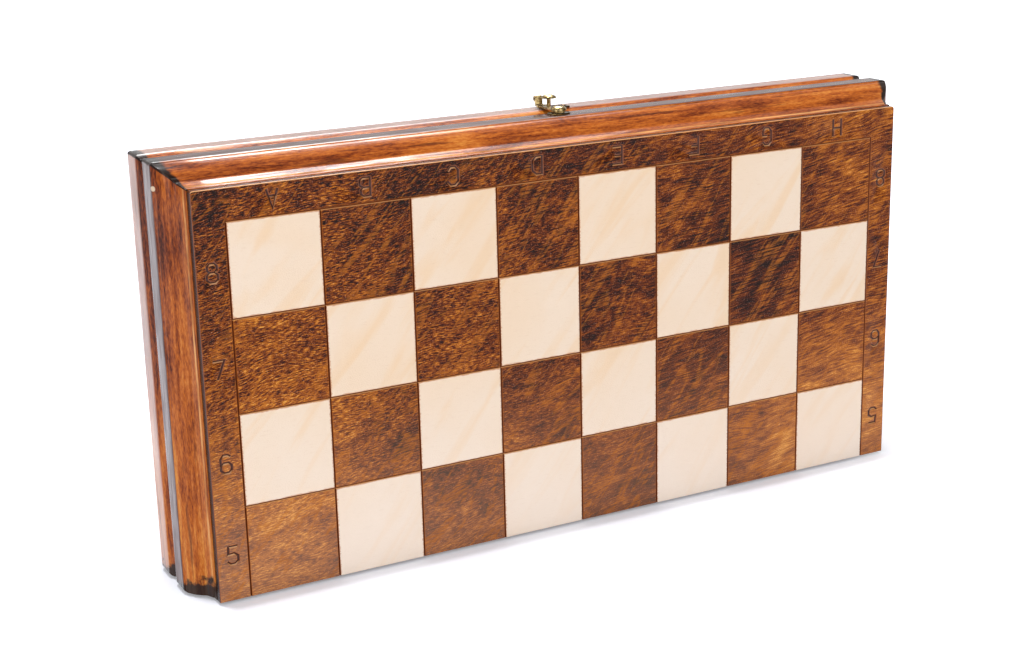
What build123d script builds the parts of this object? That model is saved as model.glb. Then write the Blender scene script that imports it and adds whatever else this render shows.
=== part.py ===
"""Folding wooden chess set: two moulded trays, hinged into one board, with a full set of men inside.

The closed case stands on its hinged edge. X runs along the files, Z runs up the ranks and Y runs
through the case, with the parting plane at Y = 0. All sizes are in millimetres.
"""

import os
from math import atan2, cos, degrees, hypot, pi, tan

from build123d import *

os.makedirs("parts", exist_ok=True)

# Playing field
square = 50.0
files = 8
ranks_per_half = 4
border = 17.0
panel_thickness = 5.0
panel_arris = 1.0
panel_corner_radius = 1.5
groove_width = 1.1
groove_depth = 0.8

# Men, as base diameter and height
king_base, king_height = 34.0, 92.0
queen_base, queen_height = 33.0, 82.0
bishop_base, bishop_height = 30.0, 70.0
knight_base, knight_height = 30.0, 62.0
rook_base, rook_height = 31.0, 55.0
pawn_base, pawn_height = 27.0, 47.0
plinth = 4.5
flats = 12

# Inside of each tray
felt_thickness = 1.0
man_clearance = 1.25
slat_thickness = 6.0
slat_rise = 3.0
divider_setback = 1.0
notch_clearance = 0.5
officer_slat_height = 30.0
pawn_slat_height = 21.0
head_room = 10.0

# Moulded rails: each point of the section is outward from the board's edge, depth behind its face
rail_flare = 12.0
rail_lap = 3.0
quirk_start = (0.3, panel_thickness)
quirk_end = (0.4, 8.2)
cove_start = (0.9, 8.8)
cove_end = (5.2, 14.2)
bead_end = (8.4, 18.0)
shoulder = (9.4, 20.2)
crown_near = (rail_flare, 24.0)
cove_sagitta = 0.5
bead_sagitta = 0.6
crown_arris = 0.8
parting_chamfer_run = 6.2
parting_chamfer_drop = 3.6
hinge_rail_thickness = 10.0
foot_radius = 2.0
mitre_radius = 2.5

# Hinges
closing_gap = 0.3
knuckle_radius = 1.5
knuckle_clearance = 0.3
knuckle_end_play = 0.2
pin_radius = 0.7
pin_clearance = 0.05
hinge_length = 32.0
hinge_spacing = 240.0
leaf_height = 8.5
leaf_thickness = 1.2
knuckles = 3

# Hook clasp on the crowns of the two top rails, with places in X and Y
pivot_place = (6.0, -11.4)
stud_place = (11.0, 8.6)
hook_rest_angle = -4.0
hook_lift = 0.2
hook_thickness = 1.0
hook_width = 4.6
hook_eye_radius = 3.8
notch_wall = 2.0
tab_rise = 4.0
curl_radius = 1.7
curl_width = 4.4
plate_thickness = 0.8
pivot_plate_size = (13.5, 9.6)
pivot_plate_clip = 2.8
keeper_plate_size = (18.0, 7.6)
keeper_plate_clip = 1.5
keeper_offset = 3.5
rivet_radius = 1.5
rivet_head_radius = 4.5
rivet_head_height = 2.2
rivet_play = 0.08
stud_radius = 1.2
stud_height = 5.9
stud_head_radius = 4.5
stud_head_height = 2.0
head_bevel = 1.4
notch_play = 0.4
tab_clearance = 0.4
fixing_depth = 7.0

# Sizes that follow from those above
half_gap = closing_gap / 2
half_depth = panel_thickness + felt_thickness + king_base + 2 * man_clearance
parting_depth = half_depth - half_gap
edge_z = knuckle_radius + half_gap
field_width = files * square
panel_half_width = field_width / 2 + border
panel_height = ranks_per_half * square + border
panel_top = edge_z + panel_height
crown_top = panel_top + rail_flare
case_half_width = panel_half_width + rail_flare
inner_half_width = panel_half_width - rail_lap
inner_bottom = edge_z + hinge_rail_thickness
inner_top = panel_top - rail_lap
felt_face = panel_thickness + felt_thickness
man_depth = felt_face + man_clearance + king_base / 2
column_pitch = 2 * inner_half_width / files
divider_top = inner_top - head_room - king_height
divider_bottom = divider_top - slat_thickness
hinge_axis_z = knuckle_radius
crown_far_depth = parting_depth - parting_chamfer_run

leaf_bottom = hinge_axis_z + knuckle_radius + knuckle_clearance
leaf_top = edge_z + leaf_height
stud_distance = hypot(stud_place[0] - pivot_place[0], stud_place[1] - pivot_place[1])
tab_start = stud_distance + stud_head_radius + tab_clearance

# The two trays, each by the side of the parting plane that it lies on
trays = {"front": -1, "rear": 1}


def depth_y(side, depth):
    """Y of a point a given depth behind the playing face of one tray."""
    return side * (half_depth - depth)


def save(name, builder):
    """Labels a finished piece and writes it."""
    builder.part.label = name
    export_step(builder.part, f"parts/{name}.step")


def column_x(column):
    """X of the middle of one of the columns that the men lie in."""
    return (column - (files - 1) / 2) * column_pitch


# Turned men

king_outline = [
    (king_base / 2, 0), (king_base / 2, plinth), (12.0, 10.5), (6.4, 56.0), (11.5, 60.0),
    (6.8, 64.0), (10.2, 77.0), (7.6, 81.0), (3.0, king_height - 9.5),
]
queen_outline = [
    (queen_base / 2, 0), (queen_base / 2, plinth), (11.5, 10.0), (6.0, 52.0), (11.0, 56.0),
    (6.4, 60.0), (10.4, 74.0), (5.0, queen_height - 5.0), (2.8, queen_height - 3.0), (2.2, queen_height),
]
bishop_outline = [
    (bishop_base / 2, 0), (bishop_base / 2, plinth), (10.5, 9.5), (5.6, 42.0), (9.6, 45.5),
    (5.6, 49.0), (8.4, 56.0), (3.0, bishop_height - 4.5), (2.4, bishop_height),
]
rook_outline = [
    (rook_base / 2, 0), (rook_base / 2, plinth), (11.5, 9.5), (8.2, 38.0), (11.0, 42.0),
    (11.0, rook_height),
]
knight_outline = [(knight_base / 2, 0), (knight_base / 2, plinth), (11.0, 9.0), (9.6, 13.0)]
pawn_outline = [
    (pawn_base / 2, 0), (pawn_base / 2, plinth), (9.3, 8.5), (4.6, 27.0), (8.0, 29.5),
    (4.8, 32.0), (7.6, 39.5), (3.2, pawn_height),
]

coronet_notch = (2.4, 1.5)
mitre_cut = (1.4, 6.0)
battlement_slot = 4.0
battlement_depth = 4.5
battlement_wall = 3.0
cross_height = 11.0
cross_span = 9.0
cross_bar = 3.0
knight_neck = 12.0
knight_chamfer = 1.6
knight_half_thickness = 6.2
knight_half_width = 11.0


def turned(outline):
    """A turned form, from its (radius, height) points, drawn with flats round it."""
    with BuildPart() as form:
        for (r0, z0), (r1, z1) in zip(outline, outline[1:]):
            draft = degrees(atan2(abs(r1 - r0) * cos(pi / flats), z1 - z0))
            with BuildSketch(Plane.XY.offset(z0)):
                RegularPolygon(max(r0, r1), flats)
            band = extrude(amount=z1 - z0, taper=draft, mode=Mode.PRIVATE)
            if r1 > r0:
                band = mirror(band, about=Plane.XY.offset((z0 + z1) / 2), mode=Mode.PRIVATE)
            add(band)
    return form.part


def king_form():
    """The king, with a plain cross on its crown."""
    with BuildPart() as form:
        add(turned(king_outline))
        with BuildSketch(Plane.XZ):
            with Locations((0, king_height - cross_height / 2)):
                Rectangle(cross_bar, cross_height)
            with Locations((0, king_height - cross_height / 2 + cross_bar / 2)):
                Rectangle(cross_span, cross_bar)
        extrude(amount=cross_bar / 2, both=True)
    return form.part


def queen_form():
    """The queen, with notches cut round her coronet."""
    width, depth = coronet_notch
    rim_radius, rim_height = queen_outline[6]
    with BuildPart() as form:
        add(turned(queen_outline))
        with BuildSketch(Plane.XY.offset(rim_height)):
            with PolarLocations(rim_radius, flats // 2):
                Rectangle(width, width)
        extrude(amount=-depth, mode=Mode.SUBTRACT)
    return form.part


def bishop_form():
    """The bishop, with the slanting cut of the mitre."""
    width, depth = mitre_cut
    head_radius, head_height = bishop_outline[6]
    cut_plane = Plane(origin=(head_radius, 0, head_height + depth), x_dir=(0, 1, 0), z_dir=(-1, 0, -1))
    with BuildPart() as form:
        add(turned(bishop_outline))
        with BuildSketch(cut_plane):
            Rectangle(4 * head_radius, width)
        extrude(amount=depth, both=True, mode=Mode.SUBTRACT)
    return form.part


def rook_form():
    """The rook, hollowed at the top with four battlements."""
    with BuildPart() as form:
        add(turned(rook_outline))
        with BuildSketch(Plane.XY.offset(rook_height)):
            RegularPolygon(rook_outline[-1][0] - battlement_wall, flats)
            Rectangle(rook_base, battlement_slot)
            Rectangle(battlement_slot, rook_base)
        extrude(amount=-battlement_depth, mode=Mode.SUBTRACT)
    return form.part


def knight_form():
    """The knight: a horse's head and neck, cut from the flat and chamfered, on a turned base."""
    with BuildPart() as head:
        with BuildSketch(Plane.XZ):
            with BuildLine():
                Line((9.0, knight_neck), (-9.0, knight_neck))
                ThreePointArc((-9.0, knight_neck), (-10.5, 34.0), (-4.5, 52.0))
                Polyline((-4.5, 52.0), (-2.5, knight_height), (1.0, 56.0), (4.0, 53.5), (13.0, 42.5))
                Polyline((13.0, 42.5), (12.4, 37.0), (8.5, 35.0), (3.6, 39.0))
                ThreePointArc((3.6, 39.0), (3.4, 29.0), (9.0, knight_neck))
            make_face()
        extrude(amount=knight_half_thickness, both=True)
        outline = head.edges().filter_by(GeomType.LINE).filter_by(Axis.Y, reverse=True)
        chamfer(outline.filter_by(lambda e: e.center().Z > knight_neck + 1), knight_chamfer)
    with BuildPart() as form:
        add(turned(knight_outline))
        add(head.part)
    return form.part


officers = ["rook", "knight", "bishop", "queen", "king", "bishop", "knight", "rook"]
man_forms = {
    "king": king_form(),
    "queen": queen_form(),
    "bishop": bishop_form(),
    "knight": knight_form(),
    "rook": rook_form(),
    "pawn": turned(pawn_outline),
}
man_nodes = {
    "king": "king", "queen": "queen", "bishop": "bishops",
    "knight": "knights", "rook": "rooks", "pawn": "pawns",
}
outlines = {
    "king": king_outline, "queen": queen_outline, "bishop": bishop_outline,
    "rook": rook_outline, "pawn": pawn_outline,
}


def radius_at(outline, height):
    """Radius of a turned form at one height."""
    for (r0, z0), (r1, z1) in zip(outline, outline[1:]):
        if z0 <= height <= z1 and z1 > z0:
            return r0 + (r1 - r0) * (height - z0) / (z1 - z0)
    return outline[-1][0]


def notch_outline(kind):
    """The notch that one man lies in, about the man's axis, with its mouth towards +Y."""
    if kind == "knight":
        width, reach, splay = knight_half_width, knight_half_thickness, 0
    else:
        height = pawn_slat_height if kind == "pawn" else officer_slat_height
        width = reach = radius_at(outlines[kind], height)
        splay = (reach + notch_clearance) * (1 - tan(pi / 8))
    with BuildSketch() as notch:
        with Locations((0, (slat_rise - reach - notch_clearance) / 2)):
            Rectangle(2 * (width + notch_clearance), slat_rise + reach + notch_clearance)
        if splay:
            chamfer(notch.vertices().group_by(Axis.Y)[0], splay)
    return notch.sketch


def make_men(colour, side):
    """All the men of one colour, lying in their tray with their heads up."""
    y = depth_y(side, man_depth)
    for kind, form in man_forms.items():
        columns = range(files) if kind == "pawn" else [i for i, k in enumerate(officers) if k == kind]
        height = inner_bottom if kind == "pawn" else divider_top
        with BuildPart() as men:
            with Locations(*[(column_x(c), y, height) for c in columns]):
                add(form)
        save(f"{colour}_{man_nodes[kind]}", men)


# Trays


def groove_section(side):
    """The V of one groove, open at the playing face."""
    Polygon((-groove_width / 2, 0), (0, -side * groove_depth), (groove_width / 2, 0), align=None)


def make_panel(tray, side):
    """The board of one tray, with a groove on every line of its squares."""
    face_plane = Plane(origin=(0, depth_y(side, 0), edge_z), x_dir=(-side, 0, 0), z_dir=(0, side, 0))
    with BuildPart() as panel:
        with BuildSketch(face_plane) as outline:
            with Locations((0, panel_height / 2)):
                Rectangle(2 * panel_half_width, panel_height)
            fillet(outline.vertices().group_by(Axis.Y)[-1], panel_corner_radius)
        extrude(amount=-panel_thickness)
        face = panel.faces().filter_by(Axis.Y).sort_by(Axis.Y)[0 if side < 0 else -1]
        chamfer(face.edges().sort_by(Axis.Z)[1:], panel_arris)
        for line in range(files + 1):
            start = (line * square - field_width / 2, depth_y(side, 0), edge_z)
            with BuildSketch(Plane(origin=start, x_dir=(1, 0, 0), z_dir=(0, 0, 1))):
                groove_section(side)
            extrude(amount=ranks_per_half * square, mode=Mode.SUBTRACT)
        for line in range(1, ranks_per_half + 1):
            start = (-field_width / 2, depth_y(side, 0), edge_z + line * square)
            with BuildSketch(Plane(origin=start, x_dir=(0, 0, -1), z_dir=(1, 0, 0))):
                groove_section(side)
            extrude(amount=field_width, mode=Mode.SUBTRACT)
    save(f"{tray}_panel", panel)


# Section of the moulding: outward from the board's edge along X, into the case along Y
with BuildSketch() as moulding:
    crown_far = (rail_flare, crown_far_depth)
    parting_edge = (rail_flare - parting_chamfer_drop, parting_depth)
    with BuildLine():
        Polyline((-rail_lap, panel_thickness), quirk_start, quirk_end, cove_start)
        SagittaArc(cove_start, cove_end, cove_sagitta)
        SagittaArc(cove_end, bead_end, -bead_sagitta)
        Polyline(bead_end, shoulder, crown_near, crown_far, parting_edge)
        Polyline(parting_edge, (-rail_lap, parting_depth), (-rail_lap, panel_thickness))
    make_face()
    fillet(moulding.vertices().filter_by(lambda v: v.X > rail_flare - crown_arris), crown_arris)


def rail_mask(mitre_points):
    """What a rail keeps of its length: up to its mitres, and inside the rounded corners of the case."""
    with BuildPart() as mask:
        with BuildSketch(Plane.XZ) as outline:
            with Locations((0, (edge_z + crown_top) / 2)):
                Rectangle(2 * case_half_width, crown_top - edge_z)
            fillet(outline.vertices().group_by(Axis.Y)[0], foot_radius)
            fillet(outline.vertices().group_by(Axis.Y)[-1], mitre_radius)
            Polygon(*mitre_points, align=None, mode=Mode.INTERSECT)
        extrude(amount=half_depth, both=True)
    return mask.part


def make_rails(tray, side):
    """The moulded rails round one tray: a top rail and two side rails."""
    with BuildPart() as top_rail:
        top = Plane(origin=(0, depth_y(side, 0), panel_top), x_dir=(0, 0, 1), z_dir=(side, 0, 0))
        with BuildSketch(top):
            add(moulding.sketch)
        extrude(amount=case_half_width, both=True)
        top_mask = rail_mask([
            (-inner_half_width, inner_top), (inner_half_width, inner_top),
            (case_half_width, crown_top), (-case_half_width, crown_top),
        ])
        add(top_mask, mode=Mode.INTERSECT)
        clasp_x, clasp_y = pivot_place if side < 0 else stud_place
        with Locations(Plane(origin=(clasp_x, clasp_y, crown_top))):
            Hole(rivet_radius if side < 0 else stud_radius, fixing_depth)
    save(f"{tray}_top_rail", top_rail)
    for name, hand in (("left", -1), ("right", 1)):
        foot = (hand * panel_half_width, depth_y(side, 0), edge_z)
        with BuildPart() as side_rail:
            with BuildSketch(Plane(origin=foot, x_dir=(hand, 0, 0), z_dir=(0, 0, -hand * side))):
                add(moulding.sketch)
            extrude(amount=-hand * side * (crown_top - edge_z))
            side_mask = rail_mask([
                (hand * inner_half_width, edge_z), (hand * inner_half_width, inner_top),
                (hand * case_half_width, crown_top), (hand * case_half_width, edge_z),
            ])
            add(side_mask, mode=Mode.INTERSECT)
        save(f"{tray}_{name}_rail", side_rail)


def hinge_places():
    """X of the middle of each hinge."""
    return [-hinge_spacing / 2, hinge_spacing / 2]


def make_hinge_rail(tray, side):
    """The plain rail along the hinged edge, recessed for the leaves and cut away round the knuckles."""
    with BuildPart() as rail:
        with BuildSketch(Plane.YZ):
            with BuildLine():
                Polyline(
                    (depth_y(side, panel_thickness), edge_z), (side * half_gap, edge_z),
                    (side * half_gap, inner_bottom), (depth_y(side, panel_thickness), inner_bottom),
                    close=True,
                )
            make_face()
        extrude(amount=inner_half_width, both=True)
        for x in hinge_places():
            with BuildSketch(Plane.YZ.offset(x)):
                with BuildLine():
                    Polyline(
                        (0, leaf_top), (side * (half_gap + leaf_thickness), leaf_top),
                        (side * (half_gap + leaf_thickness), leaf_bottom),
                        (side * (knuckle_radius + knuckle_clearance), leaf_bottom),
                        (side * (knuckle_radius + knuckle_clearance), 0), (0, 0), close=True,
                    )
                make_face()
            extrude(amount=hinge_length / 2, both=True, mode=Mode.SUBTRACT)
    save(f"{tray}_hinge_rail", rail)


def make_lining(tray, side):
    """The felt that lines the back of the board."""
    with BuildPart() as felt:
        with BuildSketch(Plane.XZ.offset(-depth_y(side, panel_thickness))):
            with Locations((0, (inner_bottom + inner_top) / 2)):
                Rectangle(2 * inner_half_width, inner_top - inner_bottom)
        extrude(amount=side * felt_thickness)
    save(f"{tray}_felt", felt)


def make_divider(tray, side):
    """The shelf between the pawns and the officers, set back a little from the parting."""
    near, far = depth_y(side, felt_face), depth_y(side, parting_depth - divider_setback)
    with BuildPart() as divider:
        with BuildSketch(Plane.YZ):
            with BuildLine():
                Polyline(
                    (near, divider_bottom), (far, divider_bottom), (far, divider_top),
                    (near, divider_top), close=True,
                )
            make_face()
        extrude(amount=inner_half_width, both=True)
    save(f"{tray}_divider", divider)


def make_comb(tray, side, name, height, kinds):
    """A slat with a notch for the stem of every man in its row."""
    near, far = depth_y(side, felt_face), depth_y(side, man_depth + slat_rise)
    with BuildPart() as comb:
        with BuildSketch(Plane.XY.offset(height)):
            with Locations((0, (near + far) / 2)):
                Rectangle(2 * inner_half_width, abs(far - near))
            for column, kind in enumerate(kinds):
                place = Location((column_x(column), depth_y(side, man_depth), 0), (0, 0, 90 + side * 90))
                with Locations(place):
                    add(notch_outline(kind), mode=Mode.SUBTRACT)
        extrude(amount=slat_thickness)
    save(f"{tray}_{name}", comb)


for tray, side in trays.items():
    make_panel(tray, side)
    make_rails(tray, side)
    make_hinge_rail(tray, side)
    make_lining(tray, side)
    make_divider(tray, side)
    make_comb(tray, side, "officer_rest", divider_top + officer_slat_height, officers)
    make_comb(tray, side, "pawn_rest", inner_bottom + pawn_slat_height, ["pawn"] * files)

make_men("white", trays["front"])
make_men("black", trays["rear"])

# Hinges


def make_leaves(tray, side, first_knuckle):
    """The hinge leaves of one tray, with every second knuckle rolled round the pin."""
    knuckle_length = (hinge_length - (knuckles - 1) * knuckle_end_play) / knuckles
    with BuildPart() as leaves:
        for x in hinge_places():
            with BuildSketch(Plane.XZ.offset(-side * half_gap)):
                with Locations((x, (leaf_bottom + leaf_top) / 2)):
                    Rectangle(hinge_length, leaf_top - leaf_bottom)
            extrude(amount=-side * leaf_thickness)
            for knuckle in range(first_knuckle, knuckles, 2):
                start = x - hinge_length / 2 + knuckle * (knuckle_length + knuckle_end_play)
                with BuildSketch(Plane.YZ.offset(start)):
                    with BuildLine():
                        Polyline(
                            (side * half_gap, hinge_axis_z), (side * (half_gap + leaf_thickness), hinge_axis_z),
                            (side * (half_gap + leaf_thickness), leaf_bottom),
                            (side * half_gap, leaf_bottom), close=True,
                        )
                    make_face()
                    with Locations((0, hinge_axis_z)):
                        Circle(knuckle_radius)
                        Circle(pin_radius + pin_clearance, mode=Mode.SUBTRACT)
                extrude(amount=knuckle_length)
    save(f"{tray}_hinge_leaves", leaves)


make_leaves("front", trays["front"], 0)
make_leaves("rear", trays["rear"], 1)
with BuildPart() as hinge_pins:
    for x in hinge_places():
        with BuildSketch(Plane(origin=(x, 0, hinge_axis_z), z_dir=(1, 0, 0))):
            Circle(pin_radius)
        extrude(amount=hinge_length / 2, both=True)
save("hinge_pins", hinge_pins)

# Hook clasp

hook_z = crown_top + plate_thickness + hook_lift

with BuildPart() as pivot_plate:
    with BuildSketch(Plane(origin=(*pivot_place, crown_top))) as outline:
        Rectangle(*pivot_plate_size)
        chamfer(outline.vertices(), pivot_plate_clip)
        Circle(rivet_radius, mode=Mode.SUBTRACT)
    extrude(amount=plate_thickness)
save("clasp_pivot_plate", pivot_plate)

with BuildPart() as keeper_plate:
    with BuildSketch(Plane(origin=(*stud_place, crown_top))) as outline:
        with Locations((keeper_offset, 0)):
            Rectangle(*keeper_plate_size)
        chamfer(outline.vertices(), keeper_plate_clip)
        Circle(stud_radius, mode=Mode.SUBTRACT)
    extrude(amount=plate_thickness)
save("clasp_keeper_plate", keeper_plate)


def headed_fixing(place, shank_radius, head_radius, head_base, head_height):
    """A turned fixing: a shank driven into the rail, under a head with a broad bevel."""
    origin = (*place, crown_top)
    head_top = head_base + head_height
    with BuildPart() as fixing:
        with BuildSketch(Plane(origin=origin, x_dir=(1, 0, 0), z_dir=(0, -1, 0))):
            with BuildLine():
                Polyline(
                    (0, head_top), (0, -fixing_depth), (shank_radius, -fixing_depth),
                    (shank_radius, head_base), (head_radius, head_base),
                    (head_radius, head_top - head_bevel), (head_radius / 2, head_top), close=True,
                )
            make_face()
        revolve(axis=Axis(origin, (0, 0, 1)))
    return fixing


rivet_head_base = hook_z + hook_thickness + hook_lift - crown_top
save("clasp_rivet", headed_fixing(
    pivot_place, rivet_radius, rivet_head_radius, rivet_head_base, rivet_head_height
))
save("clasp_stud", headed_fixing(
    stud_place, stud_radius, stud_head_radius, stud_height, stud_head_height
))

hook_plane = Plane(origin=(*pivot_place, hook_z)).rotated((0, 0, hook_rest_angle))
notch_radius = stud_radius + notch_play
with BuildPart() as hook:
    with BuildSketch(hook_plane):
        Circle(hook_eye_radius)
        with Locations((0, tab_start / 2)):
            Rectangle(hook_width, tab_start)
        with Locations((0, stud_distance)):
            Circle(notch_radius + notch_wall)
        with Locations((0, tab_start + hook_thickness / 2)):
            Rectangle(curl_width, hook_thickness)
        with Locations((hook_width, stud_distance)):
            Rectangle(2 * hook_width, 2 * notch_radius, mode=Mode.SUBTRACT)
        with Locations((0, stud_distance)):
            Circle(notch_radius, mode=Mode.SUBTRACT)
        Circle(rivet_radius + rivet_play, mode=Mode.SUBTRACT)
    extrude(amount=hook_thickness)
    tab_plane = Plane(origin=hook_plane.origin, x_dir=hook_plane.y_dir, z_dir=hook_plane.x_dir)
    with BuildSketch(tab_plane):
        with Locations((tab_start + hook_thickness / 2, tab_rise / 2)):
            Rectangle(hook_thickness, tab_rise)
        with Locations((tab_start + curl_radius, tab_rise)):
            Circle(curl_radius)
            Circle(curl_radius - hook_thickness, mode=Mode.SUBTRACT)
    extrude(amount=curl_width / 2, both=True)
save("clasp_hook", hook)
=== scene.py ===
"""A folding wooden chess set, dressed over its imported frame.

The case stands closed on its hinged edge. X runs along the files, Z up the ranks and Y through the
case, from the front board to the rear one. Everything is in metres.
"""

import logging
import math
from collections.abc import Callable, Iterable, Sequence
from dataclasses import dataclass
from enum import Enum
from typing import Any

import bmesh
import bpy
import numpy as np
from mathutils import Matrix, Vector


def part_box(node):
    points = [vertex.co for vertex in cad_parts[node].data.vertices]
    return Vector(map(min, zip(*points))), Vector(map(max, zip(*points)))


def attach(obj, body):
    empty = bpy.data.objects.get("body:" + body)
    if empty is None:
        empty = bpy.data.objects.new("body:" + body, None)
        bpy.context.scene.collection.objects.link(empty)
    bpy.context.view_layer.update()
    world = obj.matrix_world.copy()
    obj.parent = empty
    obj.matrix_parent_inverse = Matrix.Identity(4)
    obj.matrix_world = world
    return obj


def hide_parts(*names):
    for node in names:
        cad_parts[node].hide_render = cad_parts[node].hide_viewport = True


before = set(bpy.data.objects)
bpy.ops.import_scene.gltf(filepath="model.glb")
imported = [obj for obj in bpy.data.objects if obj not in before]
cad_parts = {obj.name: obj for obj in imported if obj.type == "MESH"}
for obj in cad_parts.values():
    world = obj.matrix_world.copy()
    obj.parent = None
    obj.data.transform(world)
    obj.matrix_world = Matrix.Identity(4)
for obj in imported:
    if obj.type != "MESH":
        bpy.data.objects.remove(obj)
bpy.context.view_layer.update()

LOG = logging.getLogger("chess_set")
MM = 0.001

Point2 = tuple[float, float]
Colour = tuple[float, float, float]


def mm(*values: float) -> tuple[float, ...]:
    """Turns millimetres into metres."""
    return tuple(value * MM for value in values)


def rgb(red: float, green: float, blue: float) -> Colour:
    """A colour given as it looks on a screen, from 0 to 255, made linear.

    Args:
        red: amount of red.
        green: amount of green.
        blue: amount of blue.

    Returns:
        The linear colour that a shader takes.
    """
    def linear(channel: float) -> float:
        """One channel, made linear."""
        share = channel / 255
        return share / 12.92 if share <= 0.04045 else ((share + 0.055) / 1.055) ** 2.4

    return linear(red), linear(green), linear(blue)


def operator(operation: str, reflected: bool = False) -> Callable[..., "Wire"]:
    """Makes a method of Wire from one operation of the Math node.

    Args:
        operation: what the node does.
        reflected: whether the other value comes before the wire.

    Returns:
        The method.
    """
    def method(self: "Wire", *others: "Wire | float") -> "Wire":
        """The result of one Math node on this wire and the others."""
        return self.graph.sum(operation, *((*others, self) if reflected else (self, *others)))

    return method


class Wire:
    """A shader socket that takes part in Python sums."""

    __add__ = __radd__ = operator("ADD")
    __mul__ = __rmul__ = operator("MULTIPLY")
    __sub__, __rsub__ = operator("SUBTRACT"), operator("SUBTRACT", reflected=True)
    __truediv__, __rtruediv__ = operator("DIVIDE"), operator("DIVIDE", reflected=True)
    __mod__, __rmod__ = operator("FLOORED_MODULO"), operator("FLOORED_MODULO", reflected=True)
    __pow__, __rpow__ = operator("POWER"), operator("POWER", reflected=True)
    __abs__ = operator("ABSOLUTE")
    floor = operator("FLOOR")
    least = operator("MINIMUM")
    most = operator("MAXIMUM")
    over = operator("GREATER_THAN")

    def __init__(self, graph: "Graph", socket: bpy.types.NodeSocket) -> None:
        """Wraps one output socket of a graph."""
        self.graph = graph
        self.socket = socket

    def swing(self, amount: float) -> "Wire":
        """Noise moved from about a half to about nought, and made stronger or weaker."""
        return (self - 0.5) * amount

    def step(self, low: float, high: float) -> "Wire":
        """A smooth step from nought at low to one at high; high may be the smaller."""
        settings = {"interpolation_type": "SMOOTHSTEP"}
        return self.graph.wire("ShaderNodeMapRange", settings, {0: self, 1: low, 2: high})


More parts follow.
